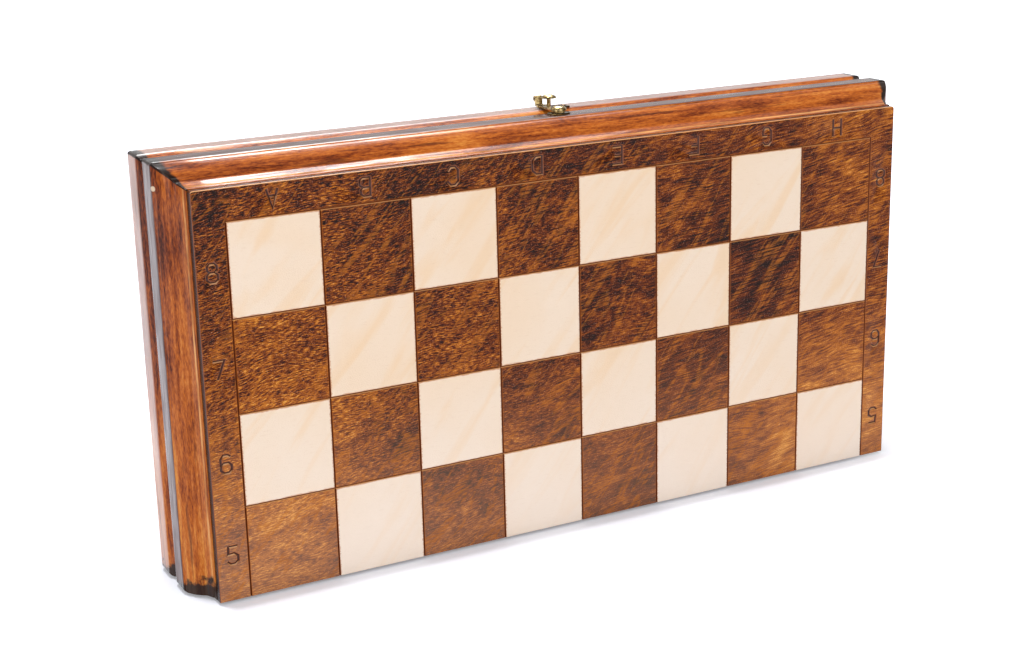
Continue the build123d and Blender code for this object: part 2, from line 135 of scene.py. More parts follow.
class Graph:
    """The node tree of a material or of the world, and short ways to add to it."""

    def __init__(self, owner: "str | bpy.types.World") -> None:
        """Starts an empty node tree.

        Args:
            owner: the name of a new material, or the world.
        """
        self.owner = bpy.data.materials.new(owner) if isinstance(owner, str) else owner
        self.owner.use_nodes = True
        self.tree = self.owner.node_tree
        self.tree.nodes.clear()

    def node(self, kind: str, settings: dict[str, Any] | None = None,
             sockets: dict[int | str, Any] | None = None) -> bpy.types.Node:
        """Adds one node.

        Args:
            kind: the node's type.
            settings: its own settings, set first; "stops" fills a colour ramp.
            sockets: values or wires for its inputs, by name or number.

        Returns:
            The new node.
        """
        node = self.tree.nodes.new(kind)
        for key, value in (settings or {}).items():
            if key == "stops":
                ramp = node.color_ramp
                for index, (place, colour) in enumerate(value):
                    stop = ramp.elements[index] if index < 2 else ramp.elements.new(place)
                    stop.position = place
                    stop.color = (*colour, 1.0)
            else:
                setattr(node, key, value)
        for key, value in (sockets or {}).items():
            if isinstance(value, Wire):
                self.tree.links.new(value.socket, node.inputs[key])
            elif isinstance(value, tuple) and len(value) == 3 and node.inputs[key].type == "RGBA":
                node.inputs[key].default_value = (*value, 1.0)
            else:
                node.inputs[key].default_value = value
        return node

    def wire(self, kind: str, settings: dict[str, Any] | None = None,
             sockets: dict[int | str, Any] | None = None, output: int | str = 0) -> Wire:
        """Adds one node and gives one of its outputs.

        Args:
            kind: the node's type.
            settings: its own settings.
            sockets: values or wires for its inputs.
            output: which output to give.

        Returns:
            The chosen output.
        """
        return Wire(self, self.node(kind, settings, sockets).outputs[output])

    def sum(self, operation: str, *values: "Wire | float") -> Wire:
        """Adds one Math node for an operation on values."""
        return self.wire("ShaderNodeMath", {"operation": operation}, dict(enumerate(values)))

    def blend(self, share: Wire | float, first: "Wire | Colour", second: "Wire | Colour") -> Wire:
        """The first colour where share is 0 and the second where it is 1."""
        return self.wire("ShaderNodeMix", {"data_type": "RGBA"}, {0: share, 6: first, 7: second}, 2)

    def ramp(self, value: Wire, stops: Sequence[tuple[float, Colour]]) -> Wire:
        """A colour read from a ramp of (place, colour) stops."""
        return self.wire("ShaderNodeValToRGB", {"stops": stops}, {0: value})

    def point(self, kind: str = "Object") -> Wire:
        """A point of the surface; by default where it lies on the object, in metres, however that moves."""
        return self.wire("ShaderNodeTexCoord", None, None, kind)

    def parts(self, vector: Wire) -> tuple[Wire, Wire, Wire]:
        """The X, Y and Z of a vector."""
        node = self.node("ShaderNodeSeparateXYZ", None, {0: vector})
        return tuple(Wire(self, output) for output in node.outputs)

    def join(self, x: "Wire | float", y: "Wire | float", z: "Wire | float") -> Wire:
        """A vector from its X, Y and Z."""
        return self.wire("ShaderNodeCombineXYZ", None, {0: x, 1: y, 2: z})

    def stretch(self, vector: Wire, scale: tuple[float, float, float]) -> Wire:
        """A vector with each part multiplied by a number."""
        return self.wire("ShaderNodeVectorMath", {"operation": "MULTIPLY"}, {0: vector, 1: scale})

    def shift(self, vector: Wire, other: "Wire | tuple[float, float, float]") -> Wire:
        """The sum of two vectors."""
        return self.wire("ShaderNodeVectorMath", {"operation": "ADD"}, {0: vector, 1: other})

    def noise(self, vector: Wire, scale: float | tuple[float, float, float], detail: float = 3.0,
              roughness: float = 0.55, bend: float = 0.0,
              stretch: tuple[float, float, float] | None = None) -> Wire:
        """Cloudy noise from about 0.3 to 0.7.

        Args:
            vector: where to read it.
            scale: how fine it is, in all directions or along each axis.
            detail: how many finer layers it has.
            roughness: how strong those are.
            bend: how much it is distorted.
            stretch: a scale for the three axes that comes before the other.

        Returns:
            The noise.
        """
        if isinstance(scale, tuple):
            stretch, scale = scale, 1.0
        if stretch:
            vector = self.stretch(vector, stretch)
        sockets = {"Vector": vector, "Scale": scale, "Detail": detail, "Roughness": roughness,
                   "Distortion": bend}
        return self.wire("ShaderNodeTexNoise", None, sockets)

    def bump(self, height: Wire, distance: float, strength: float = 1.0) -> Wire:
        """A normal bent by a height.

        Args:
            height: the height, from 0 to 1.
            distance: how many metres a height of 1 stands for.
            strength: how much of the bend is used.

        Returns:
            The bent normal.
        """
        sockets = {"Strength": strength, "Distance": distance, "Height": height}
        return self.wire("ShaderNodeBump", None, sockets)

    def surface(self, **inputs: Any) -> bpy.types.Material:
        """Closes the material with one Principled shader.

        Args:
            inputs: its inputs, with underscores for the spaces in their names.

        Returns:
            The finished material.
        """
        sockets = {key.replace("_", " "): value for key, value in inputs.items()}
        shader = self.wire("ShaderNodeBsdfPrincipled", None, sockets)
        self.node("ShaderNodeOutputMaterial", None, {0: shader})
        return self.owner

    def shown(self) -> Wire:
        """Tells rays that show a thing, itself or mirrored, from those of its light on others.

        Returns:
            One for the first and nought for the second.
        """
        path = self.node("ShaderNodeLightPath")
        camera, glossy, through = (Wire(self, path.outputs[f"Is {kind} Ray"])
                                   for kind in ("Camera", "Glossy", "Transmission"))
        return camera.most(glossy).most(through)


# Places that everything is set out from, read from the frame

PANEL_LOW, PANEL_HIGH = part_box("front_panel")
CROWN_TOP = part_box("front_top_rail")[1].z
FELT_LOW, FELT_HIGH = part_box("front_felt")
LEAF_LOW, LEAF_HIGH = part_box("front_hinge_leaves")

HALF_DEPTH = -PANEL_LOW.y
PANEL_THICKNESS = PANEL_HIGH.y - PANEL_LOW.y
EDGE_Z = PANEL_LOW.z
PANEL_TOP = PANEL_HIGH.z
PANEL_HALF_WIDTH = PANEL_HIGH.x
RAIL_FLARE = CROWN_TOP - PANEL_TOP
RAIL_LAP = PANEL_HALF_WIDTH - FELT_HIGH.x

FILES = 8
RANKS_PER_HALF = 4
BORDER = 17 * MM
SQUARE = (2 * PANEL_HALF_WIDTH - 2 * BORDER) / FILES
FIELD_HALF_WIDTH = FILES * SQUARE / 2
FIELD_TOP = EDGE_Z + RANKS_PER_HALF * SQUARE
COLUMN_PITCH = (FELT_HIGH.x - FELT_LOW.x) / FILES


class Side(Enum):
    """The two halves of the case, by the side of the parting plane each lies on."""

    FRONT = -1
    REAR = 1

    @property
    def label(self) -> str:
        """The word that starts the names of this half's pieces."""
        return self.name.lower()

    @property
    def body(self) -> str:
        """The moving body that this half's pieces ride on."""
        return f"{self.label}_tray"

    def y(self, depth: float) -> float:
        """Y of a point a given depth behind this half's playing face."""
        return self.value * (HALF_DEPTH - depth)


class Grain(Enum):
    """The axis that a piece's grain runs along."""

    ALONG_X = 0
    ALONG_Z = 2

    def squeeze(self, ratio: float) -> tuple[float, float, float]:
        """A scale that draws a pattern out along the grain.

        Args:
            ratio: how many times longer than wide the pattern becomes.

        Returns:
            The scale for the three axes.
        """
        scale = [1.0, 1.0, 1.0]
        scale[self.value] = 1 / ratio
        return tuple(scale)


# Finishes

class BoardPattern:
    """Where a point of a board lies, and the noise that the board's finish is made of."""

    def __init__(self, graph: Graph, side: Side, shift: float, slope: float) -> None:
        """Adds the nodes.

        Args:
            graph: the material's graph.
            side: the half of the case.
            shift: how far the noise is moved sideways, in metres.
            slope: how far the grain climbs for each metre to the right.
        """
        self.x, y, self.z = graph.parts(graph.point())
        self.depth = HALF_DEPTH - y * side.value
        moved = self.x + shift
        flat = graph.join(moved, 0.0, self.z)
        drift, swirl = graph.noise(flat, 7.0, 2.0), graph.noise(flat, 24.0, 2.0)
        lie = self.z - self.x * slope + drift.swing(26 * MM) + swirl.swing(6 * MM)
        grain = graph.join(moved, 0.0, lie)
        diagonal = graph.join(self.x * 0.62 + self.z * 0.78, 0.0, self.z * 0.62 - self.x * 0.78)
        self.tone = graph.noise(flat, 12.0, 3.0, 0.5, 0.4)
        self.specks = graph.noise(flat, (1300.0, 1.0, 1800.0), 1.0, 0.6)
        self.pores = graph.noise(flat, (190.0, 1.0, 900.0), 3.0, 0.65)
        self.cloud = graph.noise(grain, (60.0, 1.0, 150.0), 3.0, 0.6, 0.5)
        self.figure = graph.noise(diagonal, (9.0, 1.0, 60.0), 3.0, 0.5, 1.3)
        self.threads = graph.noise(grain, (100.0, 1.0, 1150.0), 2.0, 0.5, 0.1)
        flecks = graph.noise(grain, (300.0, 1.0, 1450.0), 1.5, 0.5, 0.1)
        threaded = self.x.step(-0.12, 0.12) * 0.7
        self.fine = flecks * (1.0 - threaded) + self.threads * threaded
        # How much painted reflection of the floor a point gets, growing towards the foot.
        self.floor_glare = self.z.step(0.12, 0.0)


@dataclass(frozen=True)
class BoardFinish:
    """Birch board: pale squares left bare, and the rest stained brown, under satin lacquer."""

    side: Side
    darkest: Colour = rgb(26, 8, 3)
    dark: Colour = rgb(66, 24, 7)
    middle: Colour = rgb(122, 56, 14)
    golden: Colour = rgb(188, 108, 30)
    glint: Colour = rgb(228, 158, 66)
    # Painted haze: the floor's reflection towards the foot and glints on the specks.
    glare_and_glint: Colour = rgb(194, 158, 132)
    pale: Colour = rgb(238, 217, 194)
    pale_warm: Colour = rgb(236, 202, 162)
    pale_fleck: Colour = rgb(222, 192, 162)
    # Painted reflection of the floor on the pale squares towards the foot.
    pale_glare: Colour = rgb(250, 238, 228)
    scratched: Colour = rgb(150, 80, 34)
    # Painted shade that deepens down the grooves and cuts.
    groove: Colour = rgb(96, 40, 14)
    # Painted highlight on the walls of the cuts that face up and on the top arris.
    painted_highlight: Colour = rgb(222, 164, 108)
    halo: Colour = rgb(184, 106, 44)
    groove_half_width: float = 0.55 * MM
    halo_width: float = 1.1 * MM
    fraying: float = 2.4 * MM
    stops: tuple[float, ...] = (0.05, 0.25, 0.50, 0.80, 1.0)
    slope: float = 0.13
    base: float = 0.335
    rear_shift: float = 3.7

    def square_masks(self, pattern: BoardPattern, border: Wire) -> tuple[Wire, Wire]:
        """Where the pale squares are, and how near the grooves are.

        Args:
            pattern: the board's pattern.
            border: the mask of the border, beyond the outermost grooves.

        Returns:
            The mask of the pale squares and the distance from the nearest groove's middle.
        """
        x, z = pattern.x, pattern.z
        across, up = (x + FIELD_HALF_WIDTH) / SQUARE, (z - EDGE_Z) / SQUARE
        odd = (across.floor() + up.floor()) % 2.0
        pale = odd if self.side is Side.FRONT else 1.0 - odd
        from_line_x, from_line_z = (abs((place + 0.5) % 1.0 - 0.5) * SQUARE for place in (across, up))
        nearest = from_line_x.least(from_line_z + (z - EDGE_Z).step(2 * MM, 1 * MM)) + border
        inside = (1.0 - abs(x).over(FIELD_HALF_WIDTH)) * (1.0 - z.over(FIELD_TOP))
        return pale * inside, nearest

    def stained(self, graph: Graph, pattern: BoardPattern) -> Wire:
        """The stained wood, worn towards both sides, with the floor's reflection painted in towards the foot.

        Args:
            graph: the material's graph.
            pattern: the board's pattern.

        Returns:
            Its colour.
        """
        x, z, specks = pattern.x, pattern.z, pattern.specks
        # Towards the foot the stain is painted lighter and less streaky, standing for the floor's reflection.
        foot_glare, right = z.step(0.15, 0.02), x.step(0.12, 0.19)
        top, rim, heel = z.step(0.17, 0.21), x.step(-0.195, -0.205), z.step(0.07, 0.03)
        left = x.step(-0.10, -0.19) * (0.26 - top * 0.20 - rim * 0.14 - heel * 0.10)
        value = self.base - z.step(0.16, 0.20) * 0.04
        value = value + (pattern.fine.swing(2.0) + specks.swing(0.7)) * (1.0 - foot_glare * 0.35)
        value = value + pattern.tone.swing(0.8) + pattern.cloud.swing(0.9)
        value = value + (foot_glare * 0.16 + left + right * 0.20)
        tints = (self.darkest, self.dark, self.middle, self.golden, self.glint)
        colour = graph.ramp(value, list(zip(self.stops, tints)))
        # Painted haze: the floor's reflection towards the foot, stronger on the left, and painted glints on
        # the specks.
        haze = pattern.floor_glare * (0.16 + x.step(0.05, -0.20) * 0.12) + specks.step(0.64, 0.74) * 0.35
        colour = graph.blend(haze, colour, self.glare_and_glint)
        growth = pattern.figure.step(0.46, 0.50) - pattern.figure.step(0.50, 0.55)
        return graph.blend(growth * pattern.threads.step(0.36, 0.60) * 0.55, colour, self.golden)

    def bare(self, graph: Graph, pattern: BoardPattern) -> Wire:
        """The bare birch of the pale squares, with the floor's reflection painted in towards the foot.

        Args:
            graph: the material's graph.
            pattern: the board's pattern.

        Returns:
            Its colour.
        """
        colour = graph.blend(pattern.figure.step(0.46, 0.68) * 0.60, self.pale, self.pale_warm)
        colour = graph.blend(pattern.tone.swing(1.6) + 0.1, colour, self.pale_warm)
        colour = graph.blend(pattern.pores.step(0.54, 0.74) * 0.30, colour, self.pale_fleck)
        # Painted reflection of the floor on the pale squares towards the foot.
        return graph.blend(pattern.floor_glare * 0.4, colour, self.pale_glare)

    def cut_through(self, graph: Graph, pattern: BoardPattern, border: Wire, cut: Wire, colour: Wire) -> Wire:
        """The colour with the grooves, the coordinates and the panel's own edge, with painted shade and
        highlights in the cuts.

        Args:
            graph: the material's graph.
            pattern: the board's pattern.
            border: the mask of the border.
            cut: the mask of all that lies below the face.
            colour: the face's colour.

        Returns:
            The colour with the cuts.
        """
        depth = pattern.depth
        _, _, normal_z = graph.parts(graph.point("Normal"))
        # Walls that face up are painted lighter, as if lit from above.
        lit_from_above = normal_z.step(0.15, 0.55)
        wall = abs(pattern.x).over(PANEL_HALF_WIDTH - 0.12 * MM) * depth.over(0.9 * MM)
        for mask, tint in (
            (cut, self.scratched),
            # Painted shade: the cuts darken with depth, less on walls that face up.
            (depth.step(0.10 * MM, 0.34 * MM) * (0.90 - lit_from_above * 0.6), self.groove),
            # Painted shade in the deeper part of the border's letters.
            (border * depth.step(0.25 * MM, 0.45 * MM) * 0.7, self.darkest),
            # Painted highlight on shallow walls that face up.
            (cut * lit_from_above * depth.step(0.60 * MM, 0.40 * MM) * 0.85, self.painted_highlight),
            # Near-black side walls: the plywood's stained edge, with the shade of the gap beside the rails
            # painted in.
            (wall * 0.8, self.darkest),
        ):
            colour = graph.blend(mask, colour, tint)
        return colour

    def build(self) -> bpy.types.Material:
        """Makes the board's material.

        Returns:
            The material.
        """
        graph = Graph(f"{self.side.label}_board")
        shift = 0.0 if self.side is Side.FRONT else self.rear_shift
        pattern = BoardPattern(graph, self.side, shift, self.slope)
        edge, specks = self.halo_width, pattern.specks
        border = abs(pattern.x).over(FIELD_HALF_WIDTH + edge).most(pattern.z.over(FIELD_TOP + edge))
        pale_mask, nearest = self.square_masks(pattern, border)
        halo = (nearest + pattern.pores.swing(self.fraying)).step(edge, self.groove_half_width)
        colour = graph.blend(pale_mask, self.stained(graph, pattern), self.bare(graph, pattern))
        colour = graph.blend(halo * (0.24 + pale_mask * 0.36), colour, self.halo)
        cut = pattern.depth.step(0.03 * MM, 0.14 * MM)
        colour = self.cut_through(graph, pattern, border, cut, colour)
        return graph.surface(
            Base_Color=colour, Roughness=0.42 + specks.swing(0.40) + pale_mask * 0.10,
            Specular_IOR_Level=0.07, Coat_Roughness=0.10,
            Coat_Weight=(0.08 + specks.step(0.54, 0.68) * 0.5 + cut * 0.4) * (1.0 - pale_mask * 0.9),
            Normal=graph.bump(pattern.fine * (1.0 - pale_mask * 0.8) + specks * 0.6, 0.26 * MM, 0.9),
        )


@dataclass(frozen=True)
class RailFinish:
    """Beech stained brown and streaked along its grain, under thick glossy lacquer.

    Stain has pooled in the mitres and at the sawn feet, and a highlight is painted along the ledge beside the
    board.
    """

    name: str
    side: Side
    grain: Grain
    seed: float
    moulded: bool = False
    black: Colour = rgb(12, 5, 3)
    dark: Colour = rgb(62, 20, 6)
    red: Colour = rgb(126, 54, 14)
    orange: Colour = rgb(182, 94, 24)
    honey: Colour = rgb(214, 138, 54)
    # Painted highlight along the ledge arris beside the board.
    painted_highlight: Colour = rgb(226, 166, 104)
    # Painted reflections on the rear half's crowns: pink on the upright rails and grey on the top rail.
    crown_reflection_pink: Colour = rgb(200, 160, 142)
    crown_reflection_grey: Colour = rgb(168, 146, 140)
    filler: Colour = rgb(214, 190, 160)
    ledge: tuple[float, float] = mm(8.0, 9.2)
    filler_place: tuple[float, float] = mm(217.5, 22.8)
    filler_radius: float = 1.5 * MM

    def pooled(self, graph: Graph, colour: Wire) -> Wire:
        """The colour with stain pooled in the mitre and at the foot.

        Args:
            graph: the material's graph.
            colour: the wood's colour.

        Returns:
            The darkened colour.
        """
        def mitre(least: float, spread: float, wobble: float, share: float) -> Wire:
            """The colour with a dark line along the mitre that widens outward."""
            off_line = (abs(beside - above) + ragged * wobble) / (least + outward * spread)
            return graph.blend(off_line.step(1.3, 0.8) * share, colour, self.black)

        x, _, z = graph.parts(graph.point())
        beside, above = abs(x) - PANEL_HALF_WIDTH, z - PANEL_TOP
        ragged = graph.noise(graph.point(), 150.0, 3.0, 0.6).swing(20 * MM)
        if self.grain is Grain.ALONG_X:
            outward = above.most(0.0)
            return mitre(0.9 * MM, 0.38, 0.2, 0.97)
        outward = beside.most(0.0)
        colour = mitre(0.7 * MM, 0.06, 0.06, 0.95)
        foot = (z + ragged + beside * 0.45).step(EDGE_Z + 12 * MM, EDGE_Z + 8 * MM)
        return graph.blend(foot * 0.95, colour, self.black)

    def plugged(self, graph: Graph, colour: Wire, depth: Wire) -> Wire:
        """The colour with the filled nail hole on the left rail.

        Args:
            graph: the material's graph.
            colour: the wood's colour.
            depth: how far a point lies behind the playing face.

        Returns:
            The colour with the plug.
        """
        x, _, z = graph.parts(graph.point())
        up, in_depth = self.filler_place
        away = ((z - up) ** 2.0 + (depth - in_depth) ** 2.0) ** 0.5
        plug = away.step(self.filler_radius, self.filler_radius * 0.7) * (1.0 - x.over(0.0))
        return graph.blend(plug, colour, self.filler)

    def build(self) -> bpy.types.Material:
        """Makes the rail's material.

        Returns:
            The material.
        """
        graph = Graph(self.name)
        squeeze = self.grain.squeeze
        upright, in_front = self.grain is Grain.ALONG_Z, self.side is Side.FRONT
        place = graph.shift(graph.point(), (self.seed, self.seed * 0.7, 0.0))
        wander = graph.noise(place, 22.0, 2.0, stretch=squeeze(5.0)).swing(6 * MM)
        sway = (wander, wander, 0.0) if upright else (0.0, wander, wander)
        bent = graph.shift(place, graph.join(*sway))
        streaks = graph.noise(bent, 420.0, 3.0, 0.58, stretch=squeeze(12.0))
        bands = graph.noise(bent, 110.0, 3.0, 0.55, stretch=squeeze(9.0))
        flecks = graph.noise(bent, 1300.0, 2.0, 0.6, stretch=squeeze(4.0))
        spots = graph.noise(bent, 260.0, 3.0, 0.6, stretch=squeeze(14.0))
        blush = graph.noise(place, 22.0, 2.0, 0.5)
        x, y, z = graph.parts(graph.point())
        value = 0.50 + streaks.swing(0.9) + bands.swing(1.0) + flecks.swing(0.8) + blush.swing(0.5)
        # The upright rails are painted lighter towards the foot, standing for the table's reflection.
        if upright:
            value = value + z.step(0.17, 0.06) * 0.33 - (0.19 if in_front else 0.22)
        colour = graph.ramp(value, [
            (0.08, self.dark), (0.30, self.red), (0.58, self.orange), (0.92, self.honey),
        ])
        outward = (abs(x) - PANEL_HALF_WIDTH).most(z - PANEL_TOP)
        crown = outward.step(RAIL_FLARE - 0.5 * MM, RAIL_FLARE - 0.1 * MM)
        # Painted light on the crowns: a pale reflection on the rear half's and dark shade on the front
        # half's.
        share, tint = (0.55, self.crown_reflection_pink) if upright else (0.75, self.crown_reflection_grey)
        if in_front:
            share, tint = 0.95, self.dark
        colour = graph.blend(crown * share, colour, tint)
        colour = graph.blend(spots.step(0.60, 0.68) * 0.6, colour, self.dark)
        if self.moulded:
            depth = HALF_DEPTH - y * self.side.value
            # A highlight painted along the ledge arris beside the board.
            low, high = self.ledge
            line = depth.step(low, low + 0.3 * MM) * depth.step(high, high - 0.4 * MM)
            colour = graph.blend(line * (0.35 + streaks.step(0.40, 0.60) * 0.55), colour, self.painted_highlight)
            colour = self.pooled(graph, colour)
            if upright and in_front:
                colour = self.plugged(graph, colour, depth)
        gloss = 0.30 + streaks.step(0.42, 0.58) * 0.55
        if upright:
            gloss = gloss * (0.35 + crown * 0.65)
        return graph.surface(
            Base_Color=colour, Roughness=0.30 + streaks * 0.14, Specular_IOR_Level=0.12,
            Coat_Weight=gloss, Coat_Roughness=0.05, Coat_IOR=1.5,
            Normal=graph.bump(streaks + flecks * 0.6, 0.09 * MM, 0.8),
        )


@dataclass(frozen=True)
class PlainWoodFinish:
    """Plain wood with a drawn-out grain and clear lacquer."""

    name: str
    grain: Grain
    light: Colour
    deep: Colour
    roughness: float = 0.42
    coat: float = 0.2
    fineness: float = 320.0

    def build(self) -> bpy.types.Material:
        """Makes the wood's material.

        Returns:
            The material.
        """
        graph = Graph(self.name)
        place, squeeze = graph.point(), self.grain.squeeze
        wide = graph.noise(place, self.fineness / 4, 3.0, 0.5, 0.4, squeeze(8.0))
        thin = graph.noise(place, self.fineness, 4.0, 0.65, stretch=squeeze(18.0))
        pores = graph.noise(place, self.fineness * 4, 2.0, 0.6, stretch=squeeze(6.0))
        value = 0.5 + wide.swing(1.3) + thin.swing(1.1)
        colour = graph.blend(value.step(0.25, 0.80), self.deep, self.light)
        colour = graph.blend(pores.step(0.60, 0.75) * 0.35, colour, self.deep)
        return graph.surface(
            Base_Color=colour, Roughness=self.roughness + thin.swing(0.2), Coat_Weight=self.coat,
            Coat_Roughness=0.15, Normal=graph.bump(thin + pores * 0.5, 0.06 * MM, 0.6),
        )


@dataclass(frozen=True)
class BrassFinish:
    """Brass-plated steel: pale gold, a little dulled in random patches."""

    name: str = "clasp_brass"
    bright: Colour = rgb(214, 190, 136)
    dull: Colour = rgb(118, 92, 50)
    spots: Colour = rgb(52, 34, 18)

    def build(self) -> bpy.types.Material:
        """Makes the plated metal's material.

        Returns:
            The material.
        """
        graph = Graph(self.name)
        place = graph.point()
        haze = graph.noise(place, 320.0, 3.0, 0.6)
        scuffs = graph.noise(place, 1400.0, 3.0, 0.7, stretch=(1.0, 6.0, 1.0))
        colour = graph.blend(haze.step(0.36, 0.62), self.bright, self.dull)
        colour = graph.blend(scuffs.step(0.60, 0.78) * 0.4, colour, self.spots)
        return graph.surface(
            Base_Color=colour, Metallic=1.0, Roughness=0.20 + haze * 0.16,
            Normal=graph.bump(scuffs, 0.01 * MM, 0.3),
        )


@dataclass(frozen=True)
class FeltFinish:
    """Pressed green felt."""

    name: str = "green_felt"
    lit: Colour = rgb(44, 92, 62)
    deep: Colour = rgb(18, 48, 32)

    def build(self) -> bpy.types.Material:
        """Makes the felt's material.

        Returns:
            The material.
        """
        graph = Graph(self.name)
        place = graph.point()
        nap = graph.noise(place, 1800.0, 4.0, 0.75, 1.2)
        wisps = graph.noise(place, 420.0, 3.0, 0.7, 1.8, (1.0, 1.0, 0.4))
        patches = graph.noise(place, 18.0, 2.0)
        colour = graph.blend((nap * 0.6 + wisps * 0.4).step(0.32, 0.66), self.deep, self.lit)
        colour = graph.blend(patches.step(0.45, 0.70) * 0.25, colour, self.lit)
        return graph.surface(
            Base_Color=colour, Roughness=0.95, Sheen_Weight=0.35, Sheen_Roughness=0.6,
            Normal=graph.bump(nap + wisps, 0.35 * MM, 0.9),
        )


# Meshes

def ring(centre: Sequence[float], radius: float, steps: int) -> list[Vector]:
    """Points on a level circle."""
    turns = (math.tau * step / steps for step in range(steps))
    return [Vector(centre) + radius * Vector((math.cos(turn), math.sin(turn), 0)) for turn in turns]


class Shape:
    """Points and faces gathered for one mesh."""

    def __init__(self) -> None:
        """Starts an empty shape."""
        self.points: list[Vector] = []
        self.faces: list[tuple[int, ...]] = []

    def add(self, points: Iterable[Sequence[float]], faces: Iterable[Sequence[int]]) -> None:
        """Adds points and faces.

        Args:
            points: the points.
            faces: the faces, which count from the first of these points.
        """
        start = len(self.points)
        self.points.extend(Vector(point) for point in points)
        self.faces.extend(tuple(start + index for index in face) for face in faces)

    def loft(self, rows: Sequence[Sequence[Vector]], around: bool = True, capped: bool = True,
             looped: bool = False) -> None:
        """Skins rows of points in order.

        Args:
            rows: rows of equally many points.
            around: whether each row closes on itself.
            capped: whether the first and last rows are filled.
            looped: whether the last row joins the first.
        """
        count = len(rows[0])
        faces: list[tuple[int, ...]] = []
        for row in range(len(rows) if looped else len(rows) - 1):
            after = (row + 1) % len(rows)
            for index in range(count if around else count - 1):
                beside = (index + 1) % count
                faces.append((row * count + index, row * count + beside,
                              after * count + beside, after * count + index))
        if capped and not looped:
            faces.append(tuple(reversed(range(count))))
            faces.append(tuple((len(rows) - 1) * count + index for index in range(count)))
        self.add([point for row in rows for point in row], faces)

    def turn(self, outline: Sequence[Point2], place: Vector, segments: int = 48) -> None:
        """Adds an upright turned form, given its radius and height at each point from the bottom up."""
        self.loft([ring(place + Vector((0, 0, height)), radius, segments) for radius, height in outline])

    def box(self, low: Sequence[float], high: Sequence[float]) -> None:
        """Adds a block.

        Args:
            low: its lowest corner.
            high: its highest corner.
        """
        (left, near, _), (right, far, _) = low, high
        sides = ((left, near), (right, near), (right, far), (left, far))
        self.loft([[Vector((x, y, z)) for x, y in sides] for z in (low[2], high[2])])

    def mesh(self) -> bmesh.types.BMesh:
        """Turns the shape into an editable mesh whose faces point outward.

        Returns:
            The mesh.
        """
        raw = bpy.data.meshes.new("raw")
        raw.from_pydata([tuple(point) for point in self.points], [], self.faces)
        editable = bmesh.new()
        editable.from_mesh(raw)
        bpy.data.meshes.remove(raw)
        bmesh.ops.recalc_face_normals(editable, faces=editable.faces)
        return editable

    def piece(self, name: str, material: bpy.types.Material, angle: float = 32.0) -> bpy.types.Object:
        """The shape as an object."""
        return piece_from(self.mesh(), name, material, angle)


def piece_from(editable: bmesh.types.BMesh, name: str, material: bpy.types.Material,
               angle: float = 32.0) -> bpy.types.Object:
    """Turns an editable mesh into an object of the scene.

    Args:
        editable: the mesh, which is used up.
        name: the object's name.
        material: its material.
        angle: edges that bend more than this, in degrees, stay crisp.

    Returns:
        The object.
    """
    mesh = bpy.data.meshes.new(name)
    editable.to_mesh(mesh)
    editable.free()
    mesh.materials.append(material)
    mesh.polygons.foreach_set("use_smooth", [True] * len(mesh.polygons))
    mesh.set_sharp_from_angle(angle=math.radians(angle))
    piece = bpy.data.objects.new(name, mesh)
    bpy.context.scene.collection.objects.link(piece)
    return piece


def evaluated(piece: bpy.types.Object) -> bpy.types.Mesh:
    """A piece's mesh with its modifiers applied."""
    return bpy.data.meshes.new_from_object(piece.evaluated_get(bpy.context.evaluated_depsgraph_get()))


def carved(piece: bpy.types.Object, knife: Shape) -> bpy.types.Mesh:
    """A piece's mesh with everything inside a knife's outline cut away.

    Args:
        piece: the piece, which keeps its own mesh.
        knife: the shape to take out of it.

    Returns:
        The carved mesh.
    """
    tool = knife.piece("knife", piece.data.materials[0])
    cut = piece.modifiers.new("carve", "BOOLEAN")
    cut.operation, cut.object, cut.solver, cut.use_self = "DIFFERENCE", tool, "EXACT", True
    result = evaluated(piece)
    piece.modifiers.clear()
    bpy.data.objects.remove(tool)
    return result


def fit(piece: bpy.types.Object, body: str, slot: str, *nodes: str) -> bpy.types.Object:
    """Hangs a piece on its moving body in place of the nodes that it stands for.

    Args:
        piece: the piece.
        body: the body that it rides on.
        slot: not used.
        nodes: nodes that it replaces.

    Returns:
        The piece.
    """
    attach(piece, body)
    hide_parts(*nodes)
    LOG.info("%s rides on %s", piece.name, body)
    return piece


def softened(node: str, material: bpy.types.Material, width: float, name: str,
             segments: int = 2) -> bpy.types.Object:
    """A copy of a node's solid with its arrises rounded off.

    Args:
        node: the node to follow.
        material: the copy's material.
        width: how far the rounding reaches from each edge, in metres.
        name: the copy's name.
        segments: how many faces make the rounding.

    Returns:
        The new object.
    """
    editable = bmesh.new()
    editable.from_mesh(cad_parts[node].data)
    bmesh.ops.remove_doubles(editable, verts=editable.verts, dist=0.002 * MM)
    bmesh.ops.dissolve_limit(editable, angle_limit=math.radians(1), verts=editable.verts,
                             edges=editable.edges)
    sharp = [edge for edge in editable.edges
             if edge.is_manifold and edge.calc_face_angle(0) > math.radians(40)]
    bmesh.ops.bevel(editable, geom=sharp, offset=width, offset_type="OFFSET", segments=segments,
                    profile=0.5, affect="EDGES", clamp_overlap=True)
    return piece_from(editable, name, material)


def smooth(points: Sequence[Point2], steps: int = 4) -> list[Point2]:
    """A smooth line through points, with a corner wherever a point is given twice.

    Args:
        points: the points.
        steps: how many pieces lie between two of them.

    Returns:
        The line's points.
    """
    runs: list[list[Point2]] = [[points[0]]]
    for before, point in zip(points, points[1:]):
        if point == before:
            runs.append([point])
        else:
            runs[-1].append(point)
    line: list[Point2] = []
    for run in runs:
        ends = [run[0], *run, run[-1]]
        for first, start, end, last in zip(ends, ends[1:], ends[2:], ends[3:]):
            for step in range(steps):
                t = step / steps
                line.append(tuple(
                    0.5 * (2 * b + (c - a) * t + (2 * a - 5 * b + 4 * c - d) * t * t
                           + (3 * b - a - 3 * c + d) * t ** 3)
                    for a, b, c, d in zip(first, start, end, last)))
        line.append(run[-1])
    return [tuple(point) for point in line]


# Board

